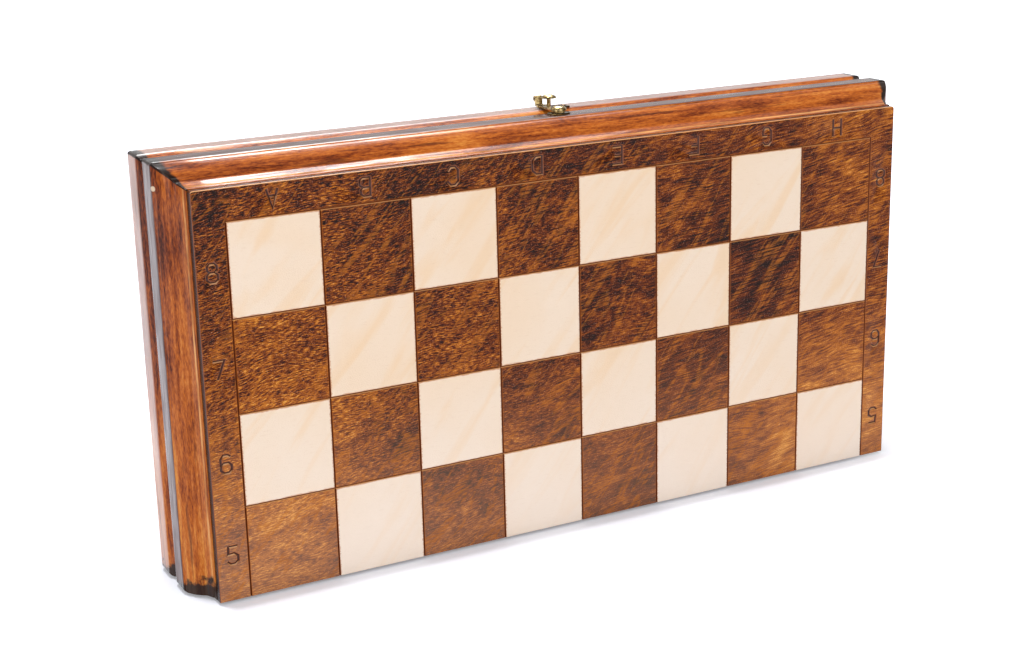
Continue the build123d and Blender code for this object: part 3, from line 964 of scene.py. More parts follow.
ARC: tuple[Point2, ...] = (
    (0.6, 0.82), (0.45, 1), (0.18, 1), (0, 0.8), (0, 0.2), (0.18, 0), (0.45, 0), (0.6, 0.18),
)
GLYPHS: dict[str, tuple[tuple[Point2, ...], ...]] = {
    "A": (((0, 0), (0.3, 1), (0.6, 0)), ((0.1, 0.34), (0.5, 0.34))),
    "B": (((0, 0), (0, 1), (0.38, 1), (0.54, 0.88), (0.54, 0.64), (0.38, 0.53), (0, 0.53)),
          ((0.38, 0.53), (0.6, 0.40), (0.6, 0.12), (0.42, 0), (0, 0))),
    "C": (ARC,),
    "D": (((0, 0), (0, 1), (0.36, 1), (0.6, 0.78), (0.6, 0.22), (0.36, 0), (0, 0)),),
    "E": (((0.6, 1), (0, 1), (0, 0), (0.6, 0)), ((0, 0.52), (0.46, 0.52))),
    "F": (((0.6, 1), (0, 1), (0, 0)), ((0, 0.52), (0.46, 0.52))),
    "G": ((*ARC, (0.6, 0.45), (0.34, 0.45)),),
    "H": (((0, 0), (0, 1)), ((0.6, 0), (0.6, 1)), ((0, 0.52), (0.6, 0.52))),
    "1": (((0.12, 0.78), (0.34, 1), (0.34, 0)), ((0.12, 0), (0.54, 0))),
    "2": (((0, 0.78), (0.16, 1), (0.44, 1), (0.6, 0.8), (0.54, 0.56), (0, 0), (0.6, 0)),),
    "3": (((0.02, 0.88), (0.18, 1), (0.42, 1), (0.56, 0.86), (0.56, 0.66), (0.4, 0.53), (0.22, 0.53)),
          ((0.4, 0.53), (0.6, 0.38), (0.6, 0.14), (0.42, 0), (0.16, 0), (0, 0.14))),
    "4": (((0.44, 0), (0.44, 1), (0, 0.3), (0.6, 0.3)),),
    "5": (((0.56, 1), (0.08, 1), (0.04, 0.56), (0.38, 0.6), (0.6, 0.44), (0.6, 0.16), (0.42, 0), (0.16, 0),
           (0, 0.14)),),
    "6": (((0.54, 0.9), (0.4, 1), (0.16, 1), (0, 0.8), (0, 0.18), (0.16, 0), (0.44, 0), (0.6, 0.16),
           (0.6, 0.4), (0.44, 0.56), (0.16, 0.56), (0, 0.4)),),
    "7": (((0, 1), (0.6, 1), (0.2, 0)),),
    "8": (((0.18, 0.53), (0.04, 0.66), (0.04, 0.86), (0.18, 1), (0.42, 1), (0.56, 0.86), (0.56, 0.66),
           (0.42, 0.53), (0.18, 0.53), (0, 0.38), (0, 0.14), (0.16, 0), (0.44, 0), (0.6, 0.14),
           (0.6, 0.38), (0.42, 0.53)),),
}


@dataclass
class BoardPanel:
    """One half of the board, with V grooves between its squares and coordinates cut into its border."""

    side: Side
    groove_width: float = 1.1 * MM
    groove_depth: float = 0.8 * MM
    arris: float = 0.7 * MM
    hinge_arris: float = 0.25 * MM
    corner_radius: float = 1.5 * MM
    glyph_height: float = 9.6 * MM
    glyph_stroke: float = 1.9 * MM
    glyph_depth: float = 0.7 * MM
    cutter_rise: float = 0.15 * MM
    cutter_spread: float = 1.25

    def lines(self, low: float, high: float, low_arris: float, grooves: Sequence[float]) -> list[float]:
        """Where the mesh's lines run between two edges.

        Args:
            low: the lower edge.
            high: the higher edge.
            low_arris: rounding along the lower edge.
            grooves: the middles of the grooves.

        Returns:
            The lines in order.
        """
        shares = (0.0, 0.06, 0.22, 0.52, 1.0)
        found = {low + low_arris * share for share in shares}
        found |= {high - self.arris * share for share in shares} | {high - self.corner_radius}
        if low_arris == self.arris:
            found.add(low + self.corner_radius)
        for groove in grooves:
            found |= {groove + self.groove_width * step for step in (-0.5, -0.22, 0.0, 0.22, 0.5)}
        return sorted(line for line in found if low <= line <= high)

    def depth(self, x: float, z: float) -> float:
        """How far the face is cut below its plane.

        Args:
            x: place across the board.
            z: height on the board.

        Returns:
            The depth of the groove or of the rounded arris there.
        """
        def bevel(gap: float, arris: float) -> float:
            """Drop of a rounded arris at a distance from its edge."""
            return arris - math.sqrt(arris ** 2 - (arris - gap) ** 2) if gap < arris else 0.0

        def groove(gap: float) -> float:
            """Drop of a groove at a distance from its middle."""
            return self.groove_depth * max(0.0, 1 - gap / (self.groove_width / 2))

        half = self.groove_width / 2 - 0.01 * MM
        in_width = abs(x) < FIELD_HALF_WIDTH + half * 0.1
        in_height = z < FIELD_TOP + half * 0.1
        near_x = abs((x + FIELD_HALF_WIDTH + SQUARE / 2) % SQUARE - SQUARE / 2)
        near_z = abs((z - EDGE_Z + SQUARE / 2) % SQUARE - SQUARE / 2) if z - EDGE_Z > SQUARE / 2 else 1.0
        cut = 0.0
        if in_height and abs(x) < FIELD_HALF_WIDTH + half:
            cut = max(cut, groove(near_x))
        if in_width and z < FIELD_TOP + half:
            cut = max(cut, groove(near_z))
        edge = min(PANEL_HALF_WIDTH - abs(x), PANEL_TOP - z)
        return max(cut, bevel(edge, self.arris), bevel(z - EDGE_Z, self.hinge_arris))

    def rounded(self, x: float, z: float) -> Point2:
        """Where a point of the square-cornered board lies once its top corners are rounded.

        Args:
            x: its place across the board.
            z: its height on the board.

        Returns:
            Its new X and Z.
        """
        centre_x = math.copysign(PANEL_HALF_WIDTH - self.corner_radius, x)
        centre_z = PANEL_TOP - self.corner_radius
        across, up = (x - centre_x) * math.copysign(1, x), z - centre_z
        if across <= 0 or up <= 0:
            return x, z
        pull = max(across, up) / math.hypot(across, up)
        return centre_x + (x - centre_x) * pull, centre_z + up * pull

    def face_point(self, x: float, z: float) -> Vector:
        """The point of the finished face that stands for X and Z on the square-cornered board."""
        round_x, round_z = self.rounded(x, z)
        return Vector((round_x, self.side.y(self.depth(x, z)), round_z))

    def solid(self) -> bmesh.types.BMesh:
        """The board with its grooves and rounded edges.

        Returns:
            Its mesh.
        """
        grooves_x = [line * SQUARE - FIELD_HALF_WIDTH for line in range(FILES + 1)]
        grooves_z = [EDGE_Z + line * SQUARE for line in range(1, RANKS_PER_HALF + 1)]
        xs = self.lines(-PANEL_HALF_WIDTH, PANEL_HALF_WIDTH, self.arris, grooves_x)
        zs = self.lines(EDGE_Z, PANEL_TOP, self.hinge_arris, grooves_z)
        shape = Shape()
        shape.loft([[self.face_point(x, z) for x in xs] for z in zs], around=False, capped=False)
        count, last = len(xs), len(zs) - 1
        rim = [*range(count), *(row * count + count - 1 for row in range(1, last + 1)),
               *(last * count + index for index in range(count - 2, -1, -1)),
               *(row * count for row in range(last - 1, 0, -1))]
        start, size = len(shape.points), len(rim)
        back = self.side.y(PANEL_THICKNESS)
        shape.points += [Vector((shape.points[index].x, back, shape.points[index].z)) for index in rim]
        for index in range(size):
            beside = (index + 1) % size
            shape.faces.append((rim[index], rim[beside], start + beside, start + index))
        shape.faces.append(tuple(range(start, start + size)))
        return shape.mesh()

    def coordinates(self) -> list[tuple[str, float, float, float]]:
        """Sets out the letters of the files and the numbers of the ranks.

        Returns:
            Each with the X and Z of its middle and how far it is turned, as read from outside.
        """
        side_x, in_front = PANEL_HALF_WIDTH - BORDER / 2, self.side is Side.FRONT
        marks = [(letter, (file + 0.5) * SQUARE - FIELD_HALF_WIDTH, PANEL_TOP - BORDER / 2, math.pi)
                 for file, letter in enumerate("ABCDEFGH")]
        for row in range(RANKS_PER_HALF):
            z = EDGE_Z + (row + 0.5) * SQUARE
            rank, turned = (str(5 + row), 0.0) if in_front else (str(4 - row), math.pi)
            marks += [(rank, -side_x, z, turned), (rank, side_x, z, turned + math.pi)]
        return marks

    def stroke(self, shape: Shape, line: Sequence[Point2]) -> None:
        """Adds the V-shaped cutter of one stroke.

        Args:
            shape: where it goes.
            line: its X and Z points.
        """
        above, half = self.side.y(-self.cutter_rise), self.glyph_stroke / 2 * self.cutter_spread
        below = self.side.y(self.glyph_depth)
        closed = line[0] == line[-1]
        rows = []
        for index, (x, z) in enumerate(line):
            before = line[index - 1] if index else (line[-2] if closed else None)
            after = line[index + 1] if index < len(line) - 1 else (line[1] if closed else None)
            ways = []
            if before:
                ways.append(Vector((x - before[0], z - before[1])).normalized())
            if after:
                ways.append(Vector((after[0] - x, after[1] - z)).normalized())
            way = sum(ways, Vector((0, 0))).normalized()
            across = Vector((-way.y, way.x)) * (half / max(0.5, abs(way.dot(ways[0]))))
            end = way * (half * 0.4) * (-1 if before is None else 1) if len(ways) == 1 else Vector((0, 0))
            rows.append([
                Vector((x + across.x + end.x, above, z + across.y + end.y)),
                Vector((x - across.x + end.x, above, z - across.y + end.y)),
                Vector((x + end.x * 0.3, below, z + end.y * 0.3)),
            ])
        shape.loft(rows)

    def cutter(self) -> Shape:
        """Gathers everything that is carved out of the border.

        Returns:
            The cutter.
        """
        shape = Shape()
        hand, size = -self.side.value, self.glyph_height
        for glyph, mid_x, mid_z, turned in self.coordinates():
            cosine, sine = math.cos(turned), math.sin(turned)
            for line in GLYPHS[glyph]:
                flat = [((across - 0.3) * size, (up - 0.5) * size) for across, up in line]
                self.stroke(shape, [(mid_x + hand * (u * cosine - v * sine), mid_z + u * sine + v * cosine)
                                    for u, v in flat])
        return shape

    def build(self) -> None:
        """Makes the panel and carves it."""
        label = self.side.label
        panel = piece_from(self.solid(), f"{label}_board", BoardFinish(self.side).build(), 24.0)
        panel.data = carved(panel, self.cutter())
        fit(panel, self.side.body, "board_veneer", f"{label}_panel")


# Rails

@dataclass
class MouldedRails:
    """The moulded rails round one half of the case, mitred at the top and sawn off at the foot."""

    side: Side
    quirk: tuple[Point2, ...] = ((0.3, 5.0), (0.4, 8.2), (0.9, 8.8))
    ogee: tuple[Point2, ...] = (
        (0.9, 8.8), (1.7, 10.7), (2.5, 12.5), (3.6, 13.6), (5.2, 14.7), (6.9, 16.3), (8.4, 18.1), (9.6, 19.9),
        (10.6, 21.6), (10.6, 21.6), (11.1, 22.8), (11.1, 22.8), (11.6, 23.1),
    )
    crown: tuple[Point2, ...] = ((12.0, 24.0), (12.0, 36.15))
    parting_edge: Point2 = (8.4, 42.35)
    foot_radius: float = 2.0 * MM
    corner_radius: float = 2.5 * MM
    corner_cuts: int = 4
    joint_softness: float = 0.22 * MM
    plain_ends: float = 14 * MM
    spare: float = 10 * MM

    @staticmethod
    def eased(points: Sequence[Point2], radius: float, steps: int = 4) -> list[Point2]:
        """Rounds the corner at the middle one of three points.

        Args:
            points: the three points.
            radius: how far from the corner the rounding starts.
            steps: how many pieces make it.

        Returns:
            The rounding's points.
        """
        before, corner, after = (Vector(point) for point in points)
        start = corner + (before - corner).normalized() * radius
        end = corner + (after - corner).normalized() * radius
        return [tuple((1 - t) ** 2 * start + 2 * t * (1 - t) * corner + t * t * end)
                for t in (step / steps for step in range(steps + 1))]

    def section(self) -> list[Point2]:
        """Draws the moulding's section.

        Returns:
            Points outward from the board's edge and in depth behind the playing face.
        """
        lap = RAIL_LAP / MM
        line = [(-lap, 5.0), *self.quirk[:-1], *smooth(self.ogee)]
        line += self.eased((self.ogee[-1], *self.crown), 0.6, 6)
        line += self.eased((*self.crown, self.parting_edge), 1.1, 6)
        line += self.eased((self.crown[1], self.parting_edge, (-lap, self.parting_edge[1])), 0.5)
        line += [(-lap, self.parting_edge[1])]
        return [(outward * MM, depth * MM) for outward, depth in line]

    @staticmethod
    def trim(editable: bmesh.types.BMesh, point: Vector, normal: Vector) -> None:
        """Saws off whatever lies beyond a plane and closes the cut.

        Args:
            editable: the mesh.
            point: a point of the plane.
            normal: the side that is sawn off.
        """
        geometry = [*editable.verts, *editable.edges, *editable.faces]
        cut = bmesh.ops.bisect_plane(editable, geom=geometry, dist=1e-7, plane_co=point, plane_no=normal,
                                     clear_outer=True)
        edges = [item for item in cut["geom_cut"] if isinstance(item, bmesh.types.BMEdge)]
        if edges:
            bmesh.ops.edgeloop_fill(editable, edges=edges)

    def mitre(self, editable: bmesh.types.BMesh, hand: int, normal: Vector) -> None:
        """Saws a rail off along the mitre on one side."""
        inner = Vector((hand * (PANEL_HALF_WIDTH - RAIL_LAP), 0, PANEL_TOP - RAIL_LAP))
        self.trim(editable, inner, normal)

    def round_corner(self, editable: bmesh.types.BMesh, across: int, up: int) -> None:
        """Rounds one corner of the case, as seen from the front.

        Args:
            editable: the rail's mesh.
            across: -1 for the left and 1 for the right.
            up: -1 for the foot and 1 for the top.
        """
        radius = self.foot_radius if up < 0 else self.corner_radius
        middle = Vector((across * (PANEL_HALF_WIDTH + RAIL_FLARE - radius), 0,
                         EDGE_Z + radius if up < 0 else CROWN_TOP - radius))
        for step in range(self.corner_cuts):
            angle = math.pi / 2 * (step + 0.5) / self.corner_cuts
            normal = Vector((across * math.cos(angle), 0, up * math.sin(angle)))
            self.trim(editable, middle + normal * radius, normal)

    def finish_ends(self, editable: bmesh.types.BMesh) -> bmesh.types.BMesh:
        """Rubs down the edges of the mitres and of the feet.

        Args:
            editable: the rail's mesh.

        Returns:
            The same mesh.
        """
        sharp = [edge for edge in editable.edges if len(edge.link_faces) == 2
                 and edge.calc_face_angle(0) > math.radians(38)
                 and any(len(face.verts) > 12 for face in edge.link_faces)]
        bmesh.ops.bevel(editable, geom=sharp, offset=self.joint_softness, offset_type="OFFSET", segments=2,
                        profile=0.5, affect="EDGES", clamp_overlap=True)
        bmesh.ops.recalc_face_normals(editable, faces=editable.faces)
        return editable

    def side_rail(self, hand: int) -> bmesh.types.BMesh:
        """Makes the rail down one side.

        Args:
            hand: -1 for the left and 1 for the right.

        Returns:
            Its mesh.
        """
        shape = Shape()
        shape.loft([[Vector((hand * (PANEL_HALF_WIDTH + outward), self.side.y(depth), z))
                     for outward, depth in self.section()]
                    for z in (EDGE_Z, EDGE_Z + self.plain_ends, PANEL_TOP - self.plain_ends,
                              CROWN_TOP + self.spare)])
        editable = shape.mesh()
        self.mitre(editable, hand, Vector((-hand, 0, 1)))
        for up in (-1, 1):
            self.round_corner(editable, hand, up)
        return self.finish_ends(editable)

    def top_rail(self) -> bmesh.types.BMesh:
        """Makes the rail along the top.

        Returns:
            Its mesh.
        """
        reach, plain = PANEL_HALF_WIDTH + RAIL_FLARE + self.spare, PANEL_HALF_WIDTH - self.plain_ends
        shape = Shape()
        shape.loft([[Vector((x, self.side.y(depth), PANEL_TOP + outward))
                     for outward, depth in self.section()]
                    for x in (-reach, -plain, plain, reach)])
        editable = shape.mesh()
        for hand in (-1, 1):
            self.mitre(editable, hand, Vector((hand, 0, -1)))
            self.round_corner(editable, hand, 1)
        return self.finish_ends(editable)

    def build(self) -> None:
        """Makes the three rails."""
        label, value = self.side.label, self.side.value
        for name, grain, seed, solid in (
            ("left", Grain.ALONG_Z, 0.17 * value - 0.31, self.side_rail(-1)),
            ("right", Grain.ALONG_Z, 0.17 * value + 0.31, self.side_rail(1)),
            ("top", Grain.ALONG_X, 0.53 * value, self.top_rail()),
        ):
            wood = RailFinish(f"{label}_{name}_wood", self.side, grain, seed, True).build()
            rail = piece_from(solid, f"{label}_{name}_moulding", wood)
            fit(rail, self.side.body, "stained_rail", f"{label}_{name}_rail")


# Inside of the trays

@dataclass
class TrayFittings:
    """What lies behind one half of the board: hinge rail, felt, divider and the rests for the men."""

    side: Side
    edge: float = 0.35 * MM
    felt_lift: float = 0.12 * MM
    felt_trim: float = 0.10 * MM
    felt_cells: tuple[int, int] = (96, 48)

    def felt(self) -> bpy.types.Object:
        """Makes the felt, cut a little unevenly and lying flat.

        Returns:
            The lining.
        """
        low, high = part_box(f"{self.side.label}_felt")
        near = self.side.y(PANEL_THICKNESS)
        far = self.side.y(PANEL_THICKNESS + FELT_HIGH.y - FELT_LOW.y)
        columns, rows = self.felt_cells
        skins = []
        for row in range(rows + 1):
            z = low.z + (high.z - low.z) * row / rows
            back, front = [], []
            for column in range(columns + 1):
                x = low.x + (high.x - low.x) * column / columns
                wave = math.sin(91 * x + 3 * math.sin(57 * z)) * math.sin(73 * z)
                ripple = self.felt_lift * (0.5 + 0.5 * wave)
                trim = self.felt_trim * (1 + math.sin(410 * z)) if column in (0, columns) else 0.0
                inset_x = x + trim * (1 if column == 0 else -1)
                back.append(Vector((inset_x, near, z)))
                front.append(Vector((inset_x, far + self.side.value * ripple, z)))
            skins.append([*front, *reversed(back)])
        shape = Shape()
        shape.loft(skins)
        cloth = FeltFinish(f"{self.side.label}_felt_cloth").build()
        return shape.piece(f"{self.side.label}_lining", cloth, 50)

    def build(self) -> None:
        """Makes the fittings."""
        label, body = self.side.label, self.side.body
        felt = self.felt()
        fit(felt, body, "felt", f"{label}_felt")
        light, deep = rgb(224, 190, 142), rgb(176, 132, 82)
        birch = PlainWoodFinish(f"{label}_fittings_birch", Grain.ALONG_X, light, deep).build()
        for node in ("divider", "officer_rest", "pawn_rest"):
            piece = softened(f"{label}_{node}", birch, self.edge, f"{label}_{node}_birch")
            fit(piece, body, "plain_birch", f"{label}_{node}")
        seed = 0.91 * self.side.value
        stained = RailFinish(f"{label}_hinge_rail_wood", self.side, Grain.ALONG_X, seed).build()
        rail = softened(f"{label}_hinge_rail", stained, self.edge, f"{label}_hinge_rail_stained")
        fit(rail, body, "stained_rail", f"{label}_hinge_rail")


# Men, outlined in millimetres, with a corner wherever a point is given twice

def foot(radius: float) -> tuple[Point2, ...]:
    """The outline of the foot that every man stands on."""
    eased = (round(radius - 0.7, 1), 4.5)
    return (radius - 0.5, 0.0), (radius, 0.5), (radius, 3.6), eased, eased


KING_FORM = (
    *foot(17.0), (14.4, 5.0), (13.6, 6.4), (13.6, 6.4),
    (13.3, 7.6), (12.6, 9.2), (11.6, 10.6), (11.6, 10.6), (10.6, 11.6), (9.6, 17.0), (8.4, 28.0), (7.1, 42.0),
    (6.4, 54.0), (6.6, 55.6), (6.6, 55.6), (9.0, 56.2), (9.6, 57.0), (9.0, 57.9), (9.0, 57.9), (11.1, 58.8),
    (11.5, 60.0), (10.6, 61.2), (7.6, 62.4), (7.6, 62.4), (6.8, 64.0), (7.4, 67.4), (8.9, 72.4), (10.2, 77.0),
    (10.2, 77.0), (9.8, 78.4), (8.6, 79.8), (6.4, 81.2), (3.6, 82.2), (1.0, 82.6),
)
QUEEN_FORM = (
    *foot(16.5), (13.9, 5.0), (13.1, 6.4), (13.1, 6.4),
    (12.8, 7.6), (12.0, 9.0), (11.2, 10.2), (11.2, 10.2), (10.0, 11.4), (9.0, 17.0), (7.8, 28.0), (6.6, 40.0),
    (6.0, 50.4), (6.2, 51.8), (6.2, 51.8), (8.4, 52.4), (9.0, 53.2), (8.6, 54.0), (8.6, 54.0), (10.6, 54.8),
    (11.0, 56.0), (10.0, 57.2), (7.0, 58.4), (7.0, 58.4), (6.4, 60.0), (7.2, 64.0), (9.0, 70.0), (10.4, 74.0),
    (10.4, 74.0), (9.4, 74.2), (8.6, 73.4), (8.6, 73.4), (7.2, 75.4), (5.2, 77.0), (3.0, 78.0), (2.0, 78.6),
    (2.0, 78.6), (2.6, 79.2), (2.9, 80.2), (2.4, 81.3), (1.2, 81.9), (0.4, 82.0),
)
BISHOP_FORM = (
    *foot(15.0), (12.6, 5.0), (12.0, 6.2), (12.0, 6.2),
    (11.7, 7.4), (11.0, 8.8), (10.2, 9.8), (10.2, 9.8), (9.2, 10.8), (8.3, 16.0), (7.2, 25.0), (6.2, 34.0),
    (5.6, 41.0), (5.8, 42.2), (5.8, 42.2), (8.6, 43.4), (9.6, 45.2), (8.8, 46.6), (6.2, 47.8), (6.2, 47.8),
    (5.6, 49.0), (6.8, 51.4), (8.2, 54.4), (8.4, 57.0), (7.4, 60.4), (5.2, 63.6), (2.9, 65.6), (2.0, 66.2),
    (2.0, 66.2), (2.5, 67.0), (2.5, 68.4), (1.8, 69.6), (0.4, 70.0),
)
ROOK_FORM = (
    *foot(15.5), (13.2, 5.0), (12.6, 6.2), (12.6, 6.2),
    (12.3, 7.4), (11.8, 8.8), (11.2, 9.8), (11.2, 9.8), (10.4, 11.0), (9.7, 17.0), (8.9, 26.0), (8.3, 34.0),
    (8.2, 38.0), (8.8, 39.6), (10.4, 41.0), (11.0, 42.4), (11.0, 42.4), (10.6, 43.2), (10.6, 43.2),
    (11.0, 44.0), (11.0, 54.6), (10.6, 55.0), (10.6, 55.0), (8.4, 55.0), (8.0, 54.6), (8.0, 54.6),
    (8.0, 50.5), (8.0, 50.5), (4.0, 50.3), (0.4, 50.3),
)
PAWN_FORM = (
    *foot(13.5), (11.2, 5.0), (10.5, 6.0), (10.5, 6.0),
    (10.2, 7.0), (9.6, 8.0), (8.8, 8.8), (8.8, 8.8), (7.6, 9.8), (6.3, 14.0), (5.2, 20.0), (4.6, 26.0),
    (4.8, 27.2), (4.8, 27.2), (7.4, 28.2), (8.0, 29.5), (7.2, 30.6), (5.2, 31.4), (5.2, 31.4), (4.8, 32.4),
    (5.6, 34.0), (7.0, 36.6), (7.6, 39.5), (7.2, 42.4), (5.4, 45.2), (2.8, 46.7), (0.4, 47.0),
)
KNIGHT_BASE_FORM = (
    *foot(15.0), (12.6, 5.0), (12.0, 6.2), (12.0, 6.2),
    (11.7, 7.4), (11.0, 9.0), (10.6, 10.6), (10.6, 10.6), (10.9, 11.4), (10.4, 12.4), (9.4, 13.0),
    (0.4, 13.2),
)
HORSE_FORM = (
    (8.8, 11.5), (8.8, 11.5), (-8.8, 11.5), (-8.8, 11.5), (-10.2, 19.0), (-10.9, 29.0), (-9.6, 40.0),
    (-6.6, 48.6), (-4.6, 52.6), (-4.6, 52.6), (-3.9, 57.2), (-2.5, 61.8), (-2.5, 61.8), (-0.6, 59.6),
    (0.9, 56.2), (0.9, 56.2), (3.6, 53.9), (6.4, 50.8), (9.8, 46.6), (12.4, 43.6), (13.0, 41.6), (12.6, 38.6),
    (11.2, 36.6), (9.0, 35.4), (6.8, 36.0), (4.8, 38.2), (3.4, 39.0), (1.6, 36.6), (1.9, 31.4), (4.2, 24.6),
    (7.2, 17.6), (8.8, 11.5),
)
CROSS_FORM = (
    (-1.3, 81.6), (1.3, 81.6), (0.9, 85.6), (1.0, 86.2), (4.5, 85.4), (4.5, 89.6), (1.0, 88.8),
    (0.9, 89.2), (1.6, 92.0), (-1.6, 92.0), (-0.9, 89.2), (-1.0, 88.8), (-4.5, 89.6), (-4.5, 85.4),
    (-1.0, 86.2), (-0.9, 85.6),
)


class Man(Enum):
    """The kinds of men: the end of their node's name, their columns from file A and their outline."""

    KING = ("king", (4,), KING_FORM)
    QUEEN = ("queen", (3,), QUEEN_FORM)
    BISHOP = ("bishops", (2, 5), BISHOP_FORM)
    KNIGHT = ("knights", (1, 6), KNIGHT_BASE_FORM)
    ROOK = ("rooks", (0, 7), ROOK_FORM)
    PAWN = ("pawns", tuple(range(FILES)), PAWN_FORM)

    def __init__(self, node: str, columns: tuple[int, ...], outline: tuple[Point2, ...]) -> None:
        """Keeps a kind's three facts under names of their own."""
        self.node, self.columns, self.outline = node, columns, outline


@dataclass
class ChessMen:
    """All the men of one colour, standing in their half of the case."""

    side: Side
    colour: str
    segments: int = 40
    points: int = 8
    horse_voxel: float = 0.55 * MM
    horse_thickness: float = 6.2 * MM
    pale_light: Colour = rgb(232, 200, 148)
    pale_deep: Colour = rgb(196, 152, 94)
    dark_light: Colour = rgb(86, 42, 22)
    dark_deep: Colour = rgb(34, 14, 8)

    def horse(self) -> tuple[list[Vector], list[tuple[int, ...]]]:
        """The knight's head and neck, carved from the flat.

        Returns:
            Its points and faces, with the base's middle at the origin.
        """
        outline = smooth(HORSE_FORM, 4)[:-1]
        thickness = self.horse_thickness / MM
        shape = Shape()
        shape.loft([[Vector((x * MM, y, z * MM)) for x, z in outline]
                    for y in (-self.horse_thickness, self.horse_thickness)])
        blank = shape.piece("blank_horse", bpy.data.materials.new("blank_horse"))
        remesh = blank.modifiers.new("remesh", "REMESH")
        remesh.mode, remesh.voxel_size = "VOXEL", self.horse_voxel
        editable = bmesh.new()
        editable.from_mesh(evaluated(blank))
        bpy.data.objects.remove(blank)
        starts = np.array(outline)
        ways = np.roll(starts, -1, axis=0) - starts
        lengths = np.maximum((ways ** 2).sum(axis=1), 1e-9)
        for vertex in editable.verts:
            x, y, z = (value / MM for value in vertex.co)
            share = np.clip((((x, z) - starts) * ways).sum(axis=1) / lengths, 0, 1)
            near = starts + ways * share[:, None]
            gap = float(np.sqrt(((near - (x, z)) ** 2).sum(axis=1)).min())
            reach = 4.6 if z > 16 else 2.6
            crown = math.sqrt(max(0.0, 1 - (1 - min(gap, reach) / reach) ** 2))
            muzzle, ears = (min(1.0, max(0.0, share)) for share in ((x - 2.0) / 11.0, (z - 50) / 12))
            narrow = 1.0 - 0.34 * muzzle - 0.16 * ears
            y = math.copysign(min(abs(y), thickness * (0.30 + 0.70 * crown) * narrow), y)
            y += math.copysign(self.carving(x, z, gap), y) * min(1.0, gap / 1.2)
            vertex.co = Vector((x, y, z)) * MM
        for _ in range(2):
            bmesh.ops.smooth_vert(editable, verts=editable.verts, factor=0.4, use_axis_x=True,
                                  use_axis_y=True, use_axis_z=True)
        return self.listed(editable)

    @staticmethod
    def listed(editable: bmesh.types.BMesh) -> tuple[list[Vector], list[tuple[int, ...]]]:
        """Takes an editable mesh apart.

        Args:
            editable: the mesh, which is used up.

        Returns:
            Its points and faces.
        """
        editable.verts.index_update()
        points = [vertex.co.copy() for vertex in editable.verts]
        faces = [tuple(vertex.index for vertex in face.verts) for face in editable.faces]
        editable.free()
        return points, faces

    @staticmethod
    def carving(x: float, z: float, gap: float) -> float:
        """How far the gouge raises or lowers the horse's side at a point, in millimetres.

        Args:
            x: place towards the muzzle.
            z: height.
            gap: distance from the outline.

        Returns:
            The rise, negative for a cut.
        """
        rise = 0.0
        mane = -x - (10.2 - 0.42 * max(0.0, z - 36) - 4.6)
        if 14 < z < 55 and -1.2 < mane < 6:
            combed = 0.5 + 0.5 * math.sin(1.9 * (z + 0.55 * x))
            rise -= 0.75 * combed * min(1.0, (mane + 1.2) / 1.5)
            rise += 0.30
        eye = math.hypot(x - 2.6, z - 49.6)
        rise -= 0.7 * math.exp(-((eye - 1.9) / 0.7) ** 2)
        rise += 0.5 * math.exp(-(eye / 1.0) ** 2)
        nostril = math.hypot(x - 10.9, z - 41.9)
        rise -= 0.8 * math.exp(-(nostril / 0.8) ** 2)
        mouth = abs((z - 38.4) - 0.16 * (x - 9.4))
        if x > 7.4:
            rise -= 0.8 * math.exp(-(mouth / 0.45) ** 2) * min(1.0, (x - 7.4) / 1.6)
        cheek = math.hypot((x - 1.6) / 4.6, (z - 43.4) / 5.0)
        rise -= 0.45 * math.exp(-((cheek - 1.0) / 0.14) ** 2) * (1.0 if z < 46 else 0.2)
        ear = abs((x + 2.2) * 0.94 - (z - 56.5) * 0.20)
        if z > 53.5:
            rise -= 0.8 * math.exp(-(ear / 0.6) ** 2)
        return rise

    def cross(self, shape: Shape) -> None:
        """Adds the king's cross, with arms that widen outward.

        Args:
            shape: where it goes.
        """
        middle = Vector((0, 87))
        rows = []
        for y, share in ((-1.5, 0.90), (-1.15, 1.0), (1.15, 1.0), (1.5, 0.90)):
            outline = [middle + (Vector(point) - middle) * share for point in CROSS_FORM]
            rows.append([Vector((x, y, z)) * MM for x, z in outline])
        shape.loft(rows)

    def knife(self, kind: Man) -> Shape:
        """What cuts the notches of a coronet, the slot of a mitre or the gaps between battlements.

        Args:
            kind: the queen, the bishop or the rook.

        Returns:
            The knife, in metres.
        """
        knife = Shape()
        if kind is Man.QUEEN:
            for step in range(self.points):
                way = Matrix.Rotation(math.tau * step / self.points, 3, "Z")
                notch = [(0, 1.9 * math.cos(turn), 2.1 * math.sin(turn))
                         for turn in (math.tau * part / 16 for part in range(16))]
                knife.loft([[way @ (Vector((reach, 0, 75.2)) + Vector(point)) * MM for point in notch]
                            for reach in (7.0, 13.0)])
        elif kind is Man.BISHOP:
            slant, thick = Vector((1, 0, 1)).normalized(), Vector((1, 0, -1)).normalized() * 0.6
            corners = [Vector((8.4, 0, 62.0)) + slant * along + thick * hand
                       for along, hand in ((-5.4, 1), (9.0, 1), (9.0, -1), (-5.4, -1))]
            knife.loft([[(corner + Vector((0, reach, 0))) * MM for corner in corners]
                        for reach in (-12, 12)])
        else:
            for x, y in ((18, 2), (2, 18)):
                knife.box(Vector((-x, -y, 50.4)) * MM, Vector((x, y, 58)) * MM)
        return knife

